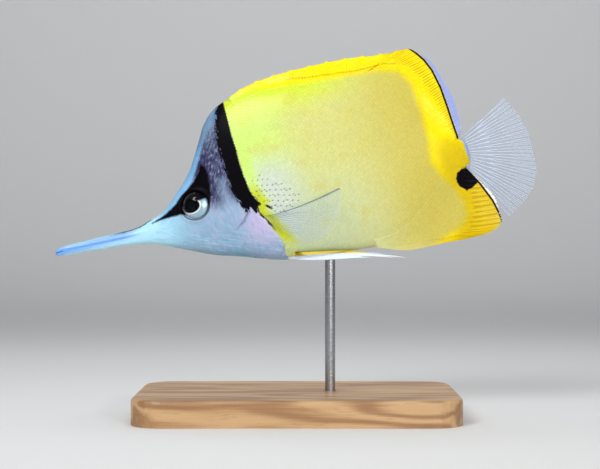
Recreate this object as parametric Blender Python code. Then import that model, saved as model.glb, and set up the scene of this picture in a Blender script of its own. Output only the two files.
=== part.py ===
"""Big longnose butterflyfish at life size, swimming nose down on a plain display stand.

The fish is modelled level: X runs back from the tip of the snout, Z is the height above the line
from that tip to the root of the tail fin, and Y is the side, with the fish's left at -Y. An empty
then tips the whole fish nose down and lifts it over the stand. Fish sizes are in millimetres.
"""

import math

import bmesh
import bpy
from mathutils import Matrix, Vector

# Lengths in this file are in millimetres, times MM where they become mesh coordinates
MM = 0.001
GAP = 0.3

# Pose of the fish above the floor
NOSE_DOWN_DEG = 13.5
SNOUT_TIP_X = -94.2
SNOUT_TIP_HEIGHT = 63.8

# Side outline of the flesh, as (distance along, height)
TOP_LINE = (
    (0.0, 0.3), (1.2, 1.3), (7.0, 1.7), (30.0, 1.8), (34.5, 2.3), (38.5, 3.7), (42.6, 4.7),
    (46.0, 6.7), (52.2, 12.2), (58.4, 18.9), (62.7, 26.0), (67.9, 35.0), (72.0, 39.2),
    (76.8, 41.6), (84.0, 43.3), (93.0, 44.6), (101.0, 44.6), (110.0, 43.5), (120.5, 42.4),
    (131.0, 41.5), (137.0, 40.3), (141.5, 37.2), (145.9, 30.8), (151.2, 20.9), (156.2, 12.4),
    (160.0, 8.3), (163.2, 6.5), (166.0, 6.0),
)
BOTTOM_LINE = (
    (0.0, -1.2), (1.2, -2.0), (11.6, -2.7), (20.6, -3.5), (27.0, -3.9), (32.7, -4.8),
    (37.0, -5.7), (40.3, -6.9), (46.9, -9.7), (53.0, -12.4), (59.4, -15.2), (70.8, -18.8),
    (78.0, -21.4), (86.0, -23.6), (93.0, -24.6), (104.0, -25.6), (117.5, -26.8),
    (124.0, -27.1), (130.0, -26.5), (136.0, -24.3), (145.0, -18.0), (155.0, -9.8),
    (160.0, -6.5), (163.5, -5.3), (166.0, -5.2),
)
# Half the flesh's thickness, its height where it is thickest, and half of its flat top and keel
HALF_WIDTH = (
    (0.0, 0.8), (1.2, 1.4), (3.4, 1.3), (12.0, 1.7), (27.0, 2.2), (35.0, 3.0), (42.0, 4.4),
    (50.0, 6.5), (58.0, 7.7), (66.0, 8.8), (76.0, 10.1), (86.0, 10.7), (98.0, 10.3),
    (112.0, 9.1), (124.0, 7.6), (136.0, 5.9), (147.0, 4.3), (157.0, 3.1), (166.0, 2.4),
)
WIDEST_HEIGHT = (
    (0.0, -0.4), (30.0, -1.5), (42.0, -1.6), (58.0, 1.0), (76.0, 1.0), (90.0, 2.0),
    (120.0, 4.0), (145.0, 3.5), (166.0, 0.3),
)
TOP_EDGE = ((0.0, 0.4), (40.0, 0.7), (60.0, 1.3), (76.0, 1.0), (100.0, 1.1), (166.0, 1.0))
KEEL_EDGE = ((0.0, 0.4), (40.0, 0.8), (80.0, 1.9), (104.0, 2.1), (120.0, 1.1), (166.0, 1.0))
# How sharply a cross section tapers to its top and keel: 0.5 is an ellipse, 1 is nearly straight
TOP_TAPER = ((0.0, 0.5), (50.0, 0.5), (80.0, 0.68), (166.0, 0.7))
KEEL_TAPER = ((0.0, 0.5), (60.0, 0.5), (90.0, 0.52), (130.0, 0.68), (166.0, 0.6))
SIDE_POINTS = 12
# Lengthwise spacing of the cross sections, as (from, to, step)
STATION_RUNS = (
    (0.0, 3.6, 0.6), (3.6, 33.6, 5.0), (33.6, 46.6, 2.6), (46.6, 78.6, 3.2), (78.6, 132.6, 4.5),
    (132.6, 164.6, 2.0),
)

# Thin cuts that part the flesh: each is the top and bottom of a line in side view
SNOUT_CUT = ((37.5, 10.0), (36.5, -12.0))
GILL_CUT = ((76.9, 41.5), (88.8, -24.0))
STALK_CUT = ((157.0, 12.0), (157.0, -9.0))

# Mouth, nostrils and eyes
MOUTH_DEPTH = 3.4
MOUTH_HEIGHT = -0.4
MOUTH_SLIT = 0.3
MOUTH_WIDTH = 8.0
MOUTH_TILT_DEG = 2.0
NOSTRILS = ((49.2, 4.9), (51.0, 6.1))
NOSTRIL_RADIUS = 0.55
LIP_SIZE = (1.5, 1.65, 0.95)
LIPS = ((1.4, 0.35), (1.1, -1.2))
EYE_ALONG, EYE_HEIGHT = 57.7, 4.6
EYE_RADIUS = 5.2
EYE_BULGE = 3.2
EYE_SINK = 1.9
RIM_RADIUS = 5.75
RIM_THICKNESS = 0.55
RIM_SINK = 0.3

# Gill covers
GILL_OUTLINE = (
    (79.2, 7.2), (81.2, 4.6), (81.5, 1.0), (81.3, -2.6), (82.4, -6.6), (84.6, -11.2),
    (86.3, -15.4), (86.6, -18.2), (85.2, -20.4), (82.4, -20.6), (78.6, -18.4), (75.4, -14.4),
    (73.6, -9.0), (73.9, -2.4), (75.7, 3.2), (77.4, 6.2),
)
GILL_THICKNESS = 1.1
GILL_PROUD = 0.25
GILL_POINTS = 36
# Half the depth of a cutter that goes right through the fish from side to side
THROUGH_DEPTH = 20.0

# Fins on the midline: outline of the margin, and which share of the root each share of it grows from
SPINY_ROOT = (78.6, 128.4)
SPINY_MARGIN = (
    (80.6, 43.6), (86.0, 45.3), (94.0, 46.9), (106.0, 47.6), (118.0, 47.7), (130.0, 47.2),
    (140.0, 45.9), (147.6, 45.5),
)
SPINE_COUNT = 11
SPINE_RISE = 0.6
SPINY_NOTCH = 0.14
SOFT_ROOT = (129.0, 162.6)
SOFT_MARGIN = (
    (148.4, 45.4), (152.4, 45.1), (155.6, 42.9), (160.2, 37.6), (162.9, 29.6), (165.1, 19.9),
    (165.7, 12.9), (164.9, 9.4), (163.7, 7.5),
)
SOFT_SHARES = ((0.0, 0.0), (0.17, 0.3), (0.55, 0.57), (1.0, 1.0))
SOFT_RAY_COUNT = 25
SOFT_RAY_RISE = 0.45
ANAL_ROOT = (120.5, 162.2)
ANAL_MARGIN = (
    (124.0, -28.6), (136.0, -31.6), (150.0, -31.9), (157.0, -32.3), (165.0, -32.2),
    (169.6, -31.1), (172.5, -28.2), (172.2, -20.6), (168.0, -12.2), (164.0, -6.4),
)
ANAL_SHARES = ((0.0, 0.0), (0.36, 0.14), (0.65, 0.24), (0.8, 0.6), (0.9, 0.83), (1.0, 1.0))
ANAL_RAY_COUNT = 21
TAIL_ROOT_TOP = (164.9, 5.7)
TAIL_ROOT_BOTTOM = (164.9, -5.0)
TAIL_MARGIN = (
    (184.9, 18.4), (189.4, 9.0), (191.2, 0.0), (191.2, -10.4), (187.6, -19.4), (176.0, -28.2),
)
TAIL_RAY_COUNT = 17
TAIL_RAY_RISE = 0.5
TAIL_ROOT_THICKNESS = 3.2
TAIL_SWING = 0.032
# How far a soft fin waves to the sides, and how long its waves are along and up
FIN_WAVE = 0.35
WAVE_ALONG = 6.0
WAVE_UP = 9.0
WEB_THICKNESS = 0.5
FIN_ROOT_THICKNESS = 1.9
# Places of a fin's columns between one ray's crest and the next, as shares of the way
RAY_COLUMNS = (0.0, 0.26, 0.74)

# Paired fins: the rays run from the root line to the line of the tips
PECTORAL_ROOT = ((82.9, -3.8), (84.4, -7.0), (86.4, -11.2))
PECTORAL_MARGIN = (
    (113.4, -1.6), (113.2, -5.4), (110.8, -11.0), (106.0, -16.4), (100.0, -19.4), (95.6, -19.0),
)
PECTORAL_RAY_COUNT = 15
PECTORAL_FLARE_DEG = 15.0
PECTORAL_ROOT_THICKNESS = 1.4
PAIRED_RAY_RISE = 0.35
PELVIC_ROOT = ((87.0, -24.6), (88.2, -23.2), (89.6, -21.8))
PELVIC_TIPS = (
    (113.0, -29.0), (135.3, -34.5), (127.6, -30.4), (121.2, -27.8), (115.0, -25.8),
    (109.0, -24.2),
)
PELVIC_BOW = ((0.0, -0.8), (0.2, 1.7), (0.4, 0.5), (1.0, 0.0))
PELVIC_NOTCH = 0.06
PELVIC_CLEAR = 2.4
PELVIC_ROOT_THICKNESS = 1.2
PELVIC_FLARE_DEG = 1.5

# Display stand
BASE_LENGTH, BASE_WIDTH, BASE_HEIGHT = 124.0, 72.0, 10.0
BASE_CORNER_RADIUS = 12.0
BASE_EDGE_BEVEL = 1.2
ROD_RADIUS = 2.0
ROD_ALONG = 104.0
ROD_SEAT = 6.0
ROD_INTO_BODY = 7.0
ROD_SIDES = 24

# Colour, roughness and metallic value of each finish
FINISHES = {
    "yellow_scales": ((0.72, 0.62, 0.09), 0.42, 0.0),
    "deep_yellow_fin": ((0.84, 0.62, 0.01), 0.45, 0.0),
    "silver_lavender_head": ((0.42, 0.44, 0.56), 0.38, 0.1),
    "pale_blue_snout": ((0.35, 0.46, 0.62), 0.40, 0.0),
    "clear_fin": ((0.62, 0.68, 0.74), 0.35, 0.0),
    "white_and_yellow_fin": ((0.78, 0.74, 0.42), 0.40, 0.0),
    "dark_eye": ((0.02, 0.02, 0.03), 0.08, 0.0),
    "pale_wood": ((0.55, 0.38, 0.22), 0.50, 0.0),
    "brushed_steel": ((0.62, 0.62, 0.64), 0.30, 1.0),
}


def smooth_curve(points):
    """A function through the points that never swings past them between two of them."""
    xs = [p[0] for p in points]
    ys = [p[1] for p in points]
    steps = [(ys[i + 1] - ys[i]) / (xs[i + 1] - xs[i]) for i in range(len(xs) - 1)]
    slopes = [steps[0]]
    for before, after in zip(steps, steps[1:]):
        level = before * after <= 0
        slopes.append(0.0 if level else 2 * before * after / (before + after))
    slopes.append(steps[-1])

    def value(x):
        x = min(max(x, xs[0]), xs[-1])
        i = 0
        while i < len(xs) - 2 and x > xs[i + 1]:
            i += 1
        width = xs[i + 1] - xs[i]
        t = (x - xs[i]) / width
        rise = ys[i] * (1 + 2 * t) * (1 - t) ** 2 + ys[i + 1] * t * t * (3 - 2 * t)
        return rise + width * (slopes[i] * t * (1 - t) ** 2 - slopes[i + 1] * t * t * (1 - t))

    return value


def smooth_path(points, samples=160):
    """A function of the share of length along a rounded path through 2-D points."""
    marks = [0.0]
    for a, b in zip(points, points[1:]):
        marks.append(marks[-1] + math.dist(a, b))
    xs = smooth_curve(list(zip(marks, (p[0] for p in points))))
    ys = smooth_curve(list(zip(marks, (p[1] for p in points))))
    line = [(xs(marks[-1] * i / samples), ys(marks[-1] * i / samples)) for i in range(samples + 1)]
    lengths = [0.0]
    for a, b in zip(line, line[1:]):
        lengths.append(lengths[-1] + math.dist(a, b))

    def at(share):
        wanted = min(max(share, 0.0), 1.0) * lengths[-1]
        i = 0
        while i < samples - 1 and lengths[i + 1] < wanted:
            i += 1
        t = (wanted - lengths[i]) / (lengths[i + 1] - lengths[i])
        a, b = line[i], line[i + 1]
        return (a[0] + (b[0] - a[0]) * t, a[1] + (b[1] - a[1]) * t)

    return at


top_line = smooth_curve(TOP_LINE)
bottom_line = smooth_curve(BOTTOM_LINE)
half_width = smooth_curve(HALF_WIDTH)
widest_height = smooth_curve(WIDEST_HEIGHT)
top_edge = smooth_curve(TOP_EDGE)
keel_edge = smooth_curve(KEEL_EDGE)
top_taper = smooth_curve(TOP_TAPER)
keel_taper = smooth_curve(KEEL_TAPER)
pelvic_root = smooth_path(PELVIC_ROOT)
pelvic_bow = smooth_curve(PELVIC_BOW)


def flesh_side(along, height):
    """Half the flesh's thickness at a place in side view."""
    middle = widest_height(along)
    if height >= middle:
        reach, edge, taper = top_line(along) - middle, top_edge(along), top_taper(along)
    else:
        reach, edge, taper = middle - bottom_line(along), keel_edge(along), keel_taper(along)
    share = min(abs(height - middle) / reach, 1.0)
    return edge + (half_width(along) - edge) * (1 - share * share) ** taper


def outward(along, height, side):
    """Unit normal of the flesh on one side, -1 for the left and 1 for the right."""
    small = 0.2
    back = (flesh_side(along + small, height) - flesh_side(along - small, height)) / (2 * small)
    up = (flesh_side(along, height + small) - flesh_side(along, height - small)) / (2 * small)
    return Vector((-back, side, -up)).normalized()


def clear_scene():
    for obj in list(bpy.data.objects):
        bpy.data.objects.remove(obj, do_unlink=True)


def finish(name):
    """The named material, made the first time that it is asked for."""
    if name in bpy.data.materials:
        return bpy.data.materials[name]
    colour, roughness, metallic = FINISHES[name]
    material = bpy.data.materials.new(name)
    material.use_nodes = True
    shader = material.node_tree.nodes["Principled BSDF"]
    shader.inputs["Base Color"].default_value = (*colour, 1.0)
    shader.inputs["Roughness"].default_value = roughness
    shader.inputs["Metallic"].default_value = metallic
    material.diffuse_color = (*colour, 1.0)
    return material


def keep_largest(bm):
    """Deletes every closed surface of the mesh but the largest."""
    unseen = set(bm.faces)
    lumps = []
    while unseen:
        queue = [unseen.pop()]
        lump = set(queue)
        while queue:
            for edge in queue.pop().edges:
                for face in edge.link_faces:
                    if face in unseen:
                        unseen.remove(face)
                        lump.add(face)
                        queue.append(face)
        lumps.append(lump)
    largest = max(lumps, key=lambda lump: sum(face.calc_area() for face in lump))
    spare = [face for face in bm.faces if face not in largest]
    bmesh.ops.delete(bm, geom=spare, context="FACES")


def make_object(name, bm, finish_name=None, parent=None, smooth_deg=40.0):
    """Turns a bmesh into a smooth-shaded object in the scene."""
    mesh = bpy.data.meshes.new(name)
    bm.to_mesh(mesh)
    bm.free()
    mesh.shade_smooth()
    mesh.set_sharp_from_angle(angle=math.radians(smooth_deg))
    if finish_name:
        mesh.materials.append(finish(finish_name))
    obj = bpy.data.objects.new(name, mesh)
    bpy.context.scene.collection.objects.link(obj)
    obj.parent = parent
    return obj


def bake_boolean(bm, tools, operation):
    """Joins or cuts a closed bmesh with others by one Boolean, and returns the result."""
    target = make_object("boolean_target", bm)
    group = bpy.data.collections.new("boolean_tools")
    bpy.context.scene.collection.children.link(group)
    for tool in tools:
        obj = make_object("boolean_tool", tool)
        bpy.context.scene.collection.objects.unlink(obj)
        group.objects.link(obj)
    modifier = target.modifiers.new("boolean", "BOOLEAN")
    modifier.operation = operation
    modifier.solver = "EXACT"
    modifier.operand_type = "COLLECTION"
    modifier.collection = group
    graph = bpy.context.evaluated_depsgraph_get()
    result = bmesh.new()
    result.from_mesh(target.evaluated_get(graph).to_mesh())
    for obj in (target, *group.objects):
        mesh = obj.data
        bpy.data.objects.remove(obj, do_unlink=True)
        bpy.data.meshes.remove(mesh)
    bpy.data.collections.remove(group)
    return result


def station_places():
    places = []
    for start, end, step in STATION_RUNS:
        count = round((end - start) / step)
        places += [start + (end - start) * i / count for i in range(count)]
    return places + [STATION_RUNS[-1][1]]


def flesh_bmesh(grow=0.0):
    """The whole flesh from snout tip to tail root, lofted through its cross sections."""
    places = station_places()
    around = 2 * SIDE_POINTS
    bm = bmesh.new()
    bmesh.ops.create_grid(bm, x_segments=len(places) - 1, y_segments=around, size=0.5)
    for vert in bm.verts:
        along = places[round((vert.co.x + 0.5) * (len(places) - 1))]
        step = round((vert.co.y + 0.5) * around) % around
        side = -1 if step < SIDE_POINTS else 1
        climb = step if side < 0 else around - 1 - step
        level = math.sin(math.pi * (climb / (SIDE_POINTS - 1) - 0.5))
        middle = widest_height(along)
        reach = top_line(along) - middle if level > 0 else middle - bottom_line(along)
        height = middle + level * reach
        vert.co = Vector((along, side * (flesh_side(along, height) + grow), height)) * MM
    bmesh.ops.remove_doubles(bm, verts=bm.verts, dist=1e-7)
    rims = [edge for edge in bm.edges if edge.is_boundary]
    bmesh.ops.holes_fill(bm, edges=rims, sides=0)
    bmesh.ops.recalc_face_normals(bm, faces=bm.faces)
    return bm


def prism_bmesh(outline, grow, half_depth):
    """A closed outline in side view, grown outwards and carried right through the fish."""
    bm = bmesh.new()
    middle = Vector((sum(p[0] for p in outline), sum(p[1] for p in outline))) / len(outline)
    ring = []
    for i, (x, z) in enumerate(outline):
        before, after = Vector(outline[i - 1]), Vector(outline[(i + 1) % len(outline)])
        across = (after - before).orthogonal().normalized()
        if across.dot(Vector((x, z)) - middle) < 0:
            across.negate()
        spot = Vector((x, z)) + across * grow
        ring.append(bm.verts.new(Vector((spot.x, -half_depth, spot.y)) * MM))
    cap = bm.faces.new(ring)
    moved = bmesh.ops.extrude_face_region(bm, geom=[cap], use_keep_orig=True)
    far = [item for item in moved["geom"] if isinstance(item, bmesh.types.BMVert)]
    bmesh.ops.translate(bm, verts=far, vec=(0.0, 2 * half_depth * MM, 0.0))
    bmesh.ops.recalc_face_normals(bm, faces=bm.faces)
    return bm


def gill_outline():
    """The gill cover's outline with its corners rounded."""
    path = smooth_path(GILL_OUTLINE + GILL_OUTLINE[:1])
    return [path(i / GILL_POINTS) for i in range(GILL_POINTS)]


def on_side(bm, place, height, side, lift=0.0):
    """Moves a mesh made at the origin onto the flesh, its Z along the flesh's normal."""
    normal = outward(place, height, side)
    turned = normal.to_track_quat("Z", "Y").to_matrix().to_4x4()
    spot = Vector((place, side * flesh_side(place, height), height)) + normal * lift
    bmesh.ops.transform(bm, matrix=Matrix.Translation(spot * MM) @ turned, verts=bm.verts)
    return bm


def eye_bmesh(side, grow=0.0):
    """A flattened ball that bulges a little from the head."""
    bm = bmesh.new()
    bmesh.ops.create_uvsphere(bm, u_segments=24, v_segments=14, radius=1.0)
    across = (EYE_RADIUS + grow) * MM
    deep = (EYE_BULGE + grow) * MM
    bmesh.ops.scale(bm, vec=(across, across, deep), verts=bm.verts)
    return on_side(bm, EYE_ALONG, EYE_HEIGHT, side, -EYE_SINK)


def orbit_rim_bmesh(side):
    """The raised rim round an eye."""
    bm = bmesh.new()
    made = bmesh.ops.create_circle(bm, segments=8, radius=RIM_THICKNESS * MM)
    bmesh.ops.rotate(bm, verts=bm.verts, matrix=Matrix.Rotation(math.pi / 2, 3, "X"))
    bmesh.ops.translate(bm, verts=made["verts"], vec=(RIM_RADIUS * MM, 0.0, 0.0))
    bmesh.ops.spin(
        bm, geom=bm.verts[:] + bm.edges[:], cent=(0, 0, 0), axis=(0, 0, 1), dvec=(0, 0, 0),
        angle=2 * math.pi, steps=28, use_merge=True,
    )
    bmesh.ops.remove_doubles(bm, verts=bm.verts, dist=1e-7)
    bmesh.ops.recalc_face_normals(bm, faces=bm.faces)
    return on_side(bm, EYE_ALONG, EYE_HEIGHT, side, -RIM_SINK)


def nostril_bmesh(place, height, side):
    bm = bmesh.new()
    bmesh.ops.create_icosphere(bm, subdivisions=1, radius=NOSTRIL_RADIUS * MM)
    return on_side(bm, place, height, side)


def lip_bmesh(along, height):
    """One lip's pad, seated in the tip of the snout."""
    bm = bmesh.new()
    bmesh.ops.create_uvsphere(bm, u_segments=16, v_segments=8, radius=MM)
    bmesh.ops.scale(bm, vec=LIP_SIZE, verts=bm.verts)
    bmesh.ops.translate(bm, verts=bm.verts, vec=Vector((along, 0.0, height)) * MM)
    return bm


def mouth_bmesh():
    """The thin slot between the lips, open at the front."""
    bm = bmesh.new()
    bmesh.ops.create_cube(bm, size=MM)
    bmesh.ops.scale(bm, vec=(2 * MOUTH_DEPTH, MOUTH_WIDTH, MOUTH_SLIT), verts=bm.verts)
    tilt = Matrix.Rotation(math.radians(MOUTH_TILT_DEG), 3, "Y")
    bmesh.ops.rotate(bm, verts=bm.verts, matrix=tilt)
    bmesh.ops.translate(bm, verts=bm.verts, vec=(0.0, 0.0, MOUTH_HEIGHT * MM))
    return bm


def pose_matrix():
    tip = Vector((SNOUT_TIP_X, 0.0, SNOUT_TIP_HEIGHT)) * MM
    return Matrix.Translation(tip) @ Matrix.Rotation(-math.radians(NOSE_DOWN_DEG), 4, "Y")


def rod_foot_and_top():
    """World places of the rod's axis: in its seat in the base, and inside the body."""
    keel = pose_matrix() @ (Vector((ROD_ALONG, 0.0, bottom_line(ROD_ALONG))) * MM)
    foot = Vector((keel.x, 0.0, (BASE_HEIGHT - ROD_SEAT) * MM))
    return foot, Vector((keel.x, 0.0, keel.z + ROD_INTO_BODY * MM))


def cylinder_bmesh(start, end, radius, sides=ROD_SIDES):
    """A closed upright cylinder between two world points."""
    bm = bmesh.new()
    bmesh.ops.create_cone(
        bm, cap_ends=True, segments=sides, radius1=radius, radius2=radius,
        depth=end.z - start.z,
    )
    bmesh.ops.translate(bm, verts=bm.verts, vec=(start + end) / 2)
    return bm


def rod_socket_bmesh():
    """The bore in the belly for the rod, in the fish's own frame."""
    foot, top = rod_foot_and_top()
    roomy = Vector((0.0, 0.0, GAP * MM))
    bm = cylinder_bmesh(foot, top + roomy, (ROD_RADIUS + GAP) * MM)
    bmesh.ops.transform(bm, matrix=pose_matrix().inverted(), verts=bm.verts)
    return bm


def cut_away(bm, line, keep_back, gap):
    """Cuts a closed bmesh by the upright plane through a line in side view, and closes it again."""
    (x1, z1), (x2, z2) = line
    back = Vector((z1 - z2, 0.0, x2 - x1)).normalized()
    shift = back * (gap / 2 if keep_back else -gap / 2)
    bmesh.ops.bisect_plane(
        bm, geom=bm.verts[:] + bm.edges[:] + bm.faces[:], dist=1e-8,
        plane_co=(Vector((x1, 0.0, z1)) + shift) * MM, plane_no=back,
        clear_inner=keep_back, clear_outer=not keep_back,
    )
    rims = [edge for edge in bm.edges if edge.is_boundary]
    bmesh.ops.holes_fill(bm, edges=rims, sides=0)
    bmesh.ops.recalc_face_normals(bm, faces=bm.faces)


def flesh_nodes(fish):
    """Snout, head, trunk and tail stalk, parted from one flesh by thin cuts, and the gill covers."""
    sides = (-1, 1)
    whole = bake_boolean(flesh_bmesh(), [orbit_rim_bmesh(side) for side in sides], "UNION")
    recess = prism_bmesh(gill_outline(), GAP, THROUGH_DEPTH)
    recess = bake_boolean(recess, [flesh_bmesh(-GILL_THICKNESS - GAP)], "DIFFERENCE")
    whole = bake_boolean(whole, [lip_bmesh(x, z) for x, z in LIPS], "UNION")
    cutters = [eye_bmesh(side, GAP) for side in sides]
    cutters += [nostril_bmesh(x, z, side) for side in sides for x, z in NOSTRILS]
    cutters += [mouth_bmesh(), recess, rod_socket_bmesh()]
    whole = bake_boolean(whole, cutters, "DIFFERENCE")
    pieces = (
        ("snout", "pale_blue_snout", None, SNOUT_CUT),
        ("head", "silver_lavender_head", SNOUT_CUT, GILL_CUT),
        ("trunk", "yellow_scales", GILL_CUT, STALK_CUT),
        ("tail_stalk", "deep_yellow_fin", STALK_CUT, None),
    )
    for name, finish_name, front, rear in pieces:
        bm = whole.copy()
        if front:
            cut_away(bm, front, True, GAP)
        if rear:
            cut_away(bm, rear, False, GAP)
        keep_largest(bm)
        make_object(name, bm, finish_name, fish)
    whole.free()
    flap = prism_bmesh(gill_outline(), 0.0, THROUGH_DEPTH)
    cover = bake_boolean(flesh_bmesh(GILL_PROUD), [flap], "INTERSECT")
    cover = bake_boolean(cover, [flesh_bmesh(-GILL_THICKNESS)], "DIFFERENCE")
    for side, name in zip(sides, ("left", "right")):
        bm = cover.copy()
        other = [vert for vert in bm.verts if vert.co.y * side < 0]
        bmesh.ops.delete(bm, geom=other, context="VERTS")
        keep_largest(bm)
        make_object("gill_cover_" + name, bm, "silver_lavender_head", fish)
    cover.free()


def eyes(fish):
    for side, name in ((-1, "left"), (1, "right")):
        make_object("eye_" + name, eye_bmesh(side), "dark_eye", fish)


def ridged_fin(name, finish_name, fish, rays, rows, place, middle, thickness):
    """A closed sheet whose rays are ridges on both faces.

    Columns run from root to margin: one on each ray's crest and two where the web between two rays
    begins and ends. place gives the side view place of a share across and a share out, middle the
    sheet's Y there, and thickness its thickness, told whether it is on a ray.
    """
    columns = 3 * (rays - 1)
    bm = bmesh.new()
    bmesh.ops.create_grid(bm, x_segments=columns, y_segments=rows, size=0.5)
    bmesh.ops.triangulate(bm, faces=bm.faces, quad_method="FIXED")
    near = bm.verts[:]
    spread = bmesh.ops.extrude_face_region(bm, geom=bm.faces[:], use_keep_orig=True)
    far = [item for item in spread["geom"] if isinstance(item, bmesh.types.BMVert)]
    for verts, face in ((near, -0.5), (far, 0.5)):
        for vert in verts:
            column = round((vert.co.x + 0.5) * columns)
            out = round((vert.co.y + 0.5) * rows) / rows
            on_ray = column % 3 == 0
            across = (column // 3 + RAY_COLUMNS[column % 3]) / (rays - 1)
            x, z = place(across, out, on_ray)
            y = middle(x, z, out) + face * thickness(out, on_ray)
            vert.co = Vector((x, y, z)) * MM
    bmesh.ops.recalc_face_normals(bm, faces=bm.faces)
    return make_object(name, bm, finish_name, fish, smooth_deg=60.0)


def root_along_flesh(line, ends, out_sign):
    """A path just off the flesh's top or keel line between two places along it."""
    steps = 60
    points = []
    for i in range(steps + 1):
        x = ends[0] + (ends[1] - ends[0]) * i / steps
        slope = (line(x + 0.05) - line(x - 0.05)) / 0.1
        away = Vector((-slope, 1.0)).normalized() * out_sign * GAP
        points.append((x + away.x, line(x) + away.y))
    return smooth_path(points)


def evenly(share):
    return share


def between(root, margin, shares=evenly, notch=0.0):
    """Side view place on a fin: straight rays from root to margin, notched between them."""

    def place(across, out, on_ray):
        reach = out if on_ray else out * (1 - notch)
        start, end = root(shares(across)), margin(across)
        return (start[0] + (end[0] - start[0]) * reach, start[1] + (end[1] - start[1]) * reach)

    return place


def tapering(root_thick, ray_rise, quick):
    """Thickness of a fin: fleshy at the root, then a thin web with rays raised from it."""

    def thickness(out, on_ray):
        web = WEB_THICKNESS + (root_thick - ray_rise - WEB_THICKNESS) * (1 - out) ** quick
        return web + ray_rise if on_ray else web

    return thickness


def wavy(x, z, out):
    return FIN_WAVE * out * math.sin(x / WAVE_ALONG + z / WAVE_UP)


def midline_fins(fish):
    spiny_root = root_along_flesh(top_line, SPINY_ROOT, 1)
    place = between(spiny_root, smooth_path(SPINY_MARGIN), notch=SPINY_NOTCH)
    ridged_fin(
        "dorsal_fin_spiny", "deep_yellow_fin", fish, SPINE_COUNT, 4, place, wavy,
        tapering(FIN_ROOT_THICKNESS, SPINE_RISE, 1.5),
    )
    soft_root = root_along_flesh(top_line, SOFT_ROOT, 1)
    place = between(soft_root, smooth_path(SOFT_MARGIN), smooth_curve(SOFT_SHARES))
    ridged_fin(
        "dorsal_fin_soft", "deep_yellow_fin", fish, SOFT_RAY_COUNT, 5, place, wavy,
        tapering(FIN_ROOT_THICKNESS, SOFT_RAY_RISE, 1.5),
    )
    anal_root = root_along_flesh(bottom_line, ANAL_ROOT, -1)
    place = between(anal_root, smooth_path(ANAL_MARGIN), smooth_curve(ANAL_SHARES))
    ridged_fin(
        "anal_fin", "deep_yellow_fin", fish, ANAL_RAY_COUNT, 5, place, wavy,
        tapering(FIN_ROOT_THICKNESS, SOFT_RAY_RISE, 1.5),
    )


def tail_fin(fish):
    root = smooth_path((TAIL_ROOT_TOP, TAIL_ROOT_BOTTOM))
    place = between(root, smooth_path(TAIL_MARGIN))

    def swing(x, z, out):
        return TAIL_SWING * math.hypot(x - TAIL_ROOT_TOP[0], z) ** 1.5

    ridged_fin(
        "caudal_fin", "clear_fin", fish, TAIL_RAY_COUNT, 5, place, swing,
        tapering(TAIL_ROOT_THICKNESS, TAIL_RAY_RISE, 4.0),
    )


def pelvic_place(across, out, on_ray):
    """Side view place on a folded pelvic fin, whose long first soft ray ends in a drooping thread."""
    last = len(PELVIC_TIPS) - 1
    ray = min(int(across * last + 1e-6), last)
    share = across * last - ray
    tip = Vector(PELVIC_TIPS[ray])
    start = Vector(pelvic_root(across))
    if not on_ray:
        tip = tip.lerp(Vector(PELVIC_TIPS[ray + 1]), share)
        tip = start + (tip - start) * (1 - PELVIC_NOTCH)
    spot = start + (tip - start) * out
    return spot.x, spot.y + pelvic_bow(across) * 4 * out * (1 - out)


def paired_fins(fish):
    pectoral_place = between(smooth_path(PECTORAL_ROOT), smooth_path(PECTORAL_MARGIN))
    flare = math.tan(math.radians(PECTORAL_FLARE_DEG))
    spread = math.tan(math.radians(PELVIC_FLARE_DEG))
    for side, name in ((-1, "left"), (1, "right")):

        def pectoral_side(x, z, out):
            lift = max(x - PECTORAL_ROOT[1][0], 0.0) * flare * out
            clear = GAP + GILL_PROUD + PECTORAL_ROOT_THICKNESS / 2
            return side * (flesh_side(x, z) + clear + lift)

        ridged_fin(
            "pectoral_fin_" + name, "clear_fin", fish, PECTORAL_RAY_COUNT, 5, pectoral_place,
            pectoral_side, tapering(PECTORAL_ROOT_THICKNESS, PAIRED_RAY_RISE, 2.0),
        )

        def pelvic_side(x, z, out):
            clear = GAP + PELVIC_ROOT_THICKNESS / 2 + spread * (x - PELVIC_ROOT[0][0])
            return side * (max(flesh_side(x, z), PELVIC_CLEAR) + clear)

        ridged_fin(
            "pelvic_fin_" + name, "white_and_yellow_fin", fish, len(PELVIC_TIPS), 8,
            pelvic_place, pelvic_side,
            tapering(PELVIC_ROOT_THICKNESS, PAIRED_RAY_RISE, 2.0),
        )


def stand():
    """A wooden base with a steel rod seated in it."""
    foot, top = rod_foot_and_top()
    bm = bmesh.new()
    bmesh.ops.create_cube(bm, size=1.0)
    size = Vector((BASE_LENGTH, BASE_WIDTH, BASE_HEIGHT)) * MM
    bmesh.ops.scale(bm, vec=size, verts=bm.verts)
    bmesh.ops.translate(bm, verts=bm.verts, vec=(0.0, 0.0, size.z / 2))
    uprights = [e for e in bm.edges if abs(e.verts[0].co.z - e.verts[1].co.z) > size.z / 2]
    bmesh.ops.bevel(
        bm, geom=uprights, offset=BASE_CORNER_RADIUS * MM, offset_type="OFFSET", segments=6,
        profile=0.5, affect="EDGES", material=-1,
    )
    upper = [e for e in bm.edges if min(v.co.z for v in e.verts) > size.z * 0.99]
    bmesh.ops.bevel(
        bm, geom=upper, offset=BASE_EDGE_BEVEL * MM, offset_type="OFFSET", segments=2,
        profile=0.5, affect="EDGES", material=-1,
    )
    above = Vector((foot.x, 0.0, 2 * size.z))
    seat = cylinder_bmesh(foot - Vector((0.0, 0.0, GAP * MM)), above, (ROD_RADIUS + GAP) * MM)
    bm = bake_boolean(bm, [seat], "DIFFERENCE")
    make_object("stand_base", bm, "pale_wood")
    make_object("stand_rod", cylinder_bmesh(foot, top, ROD_RADIUS * MM), "brushed_steel")


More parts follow.
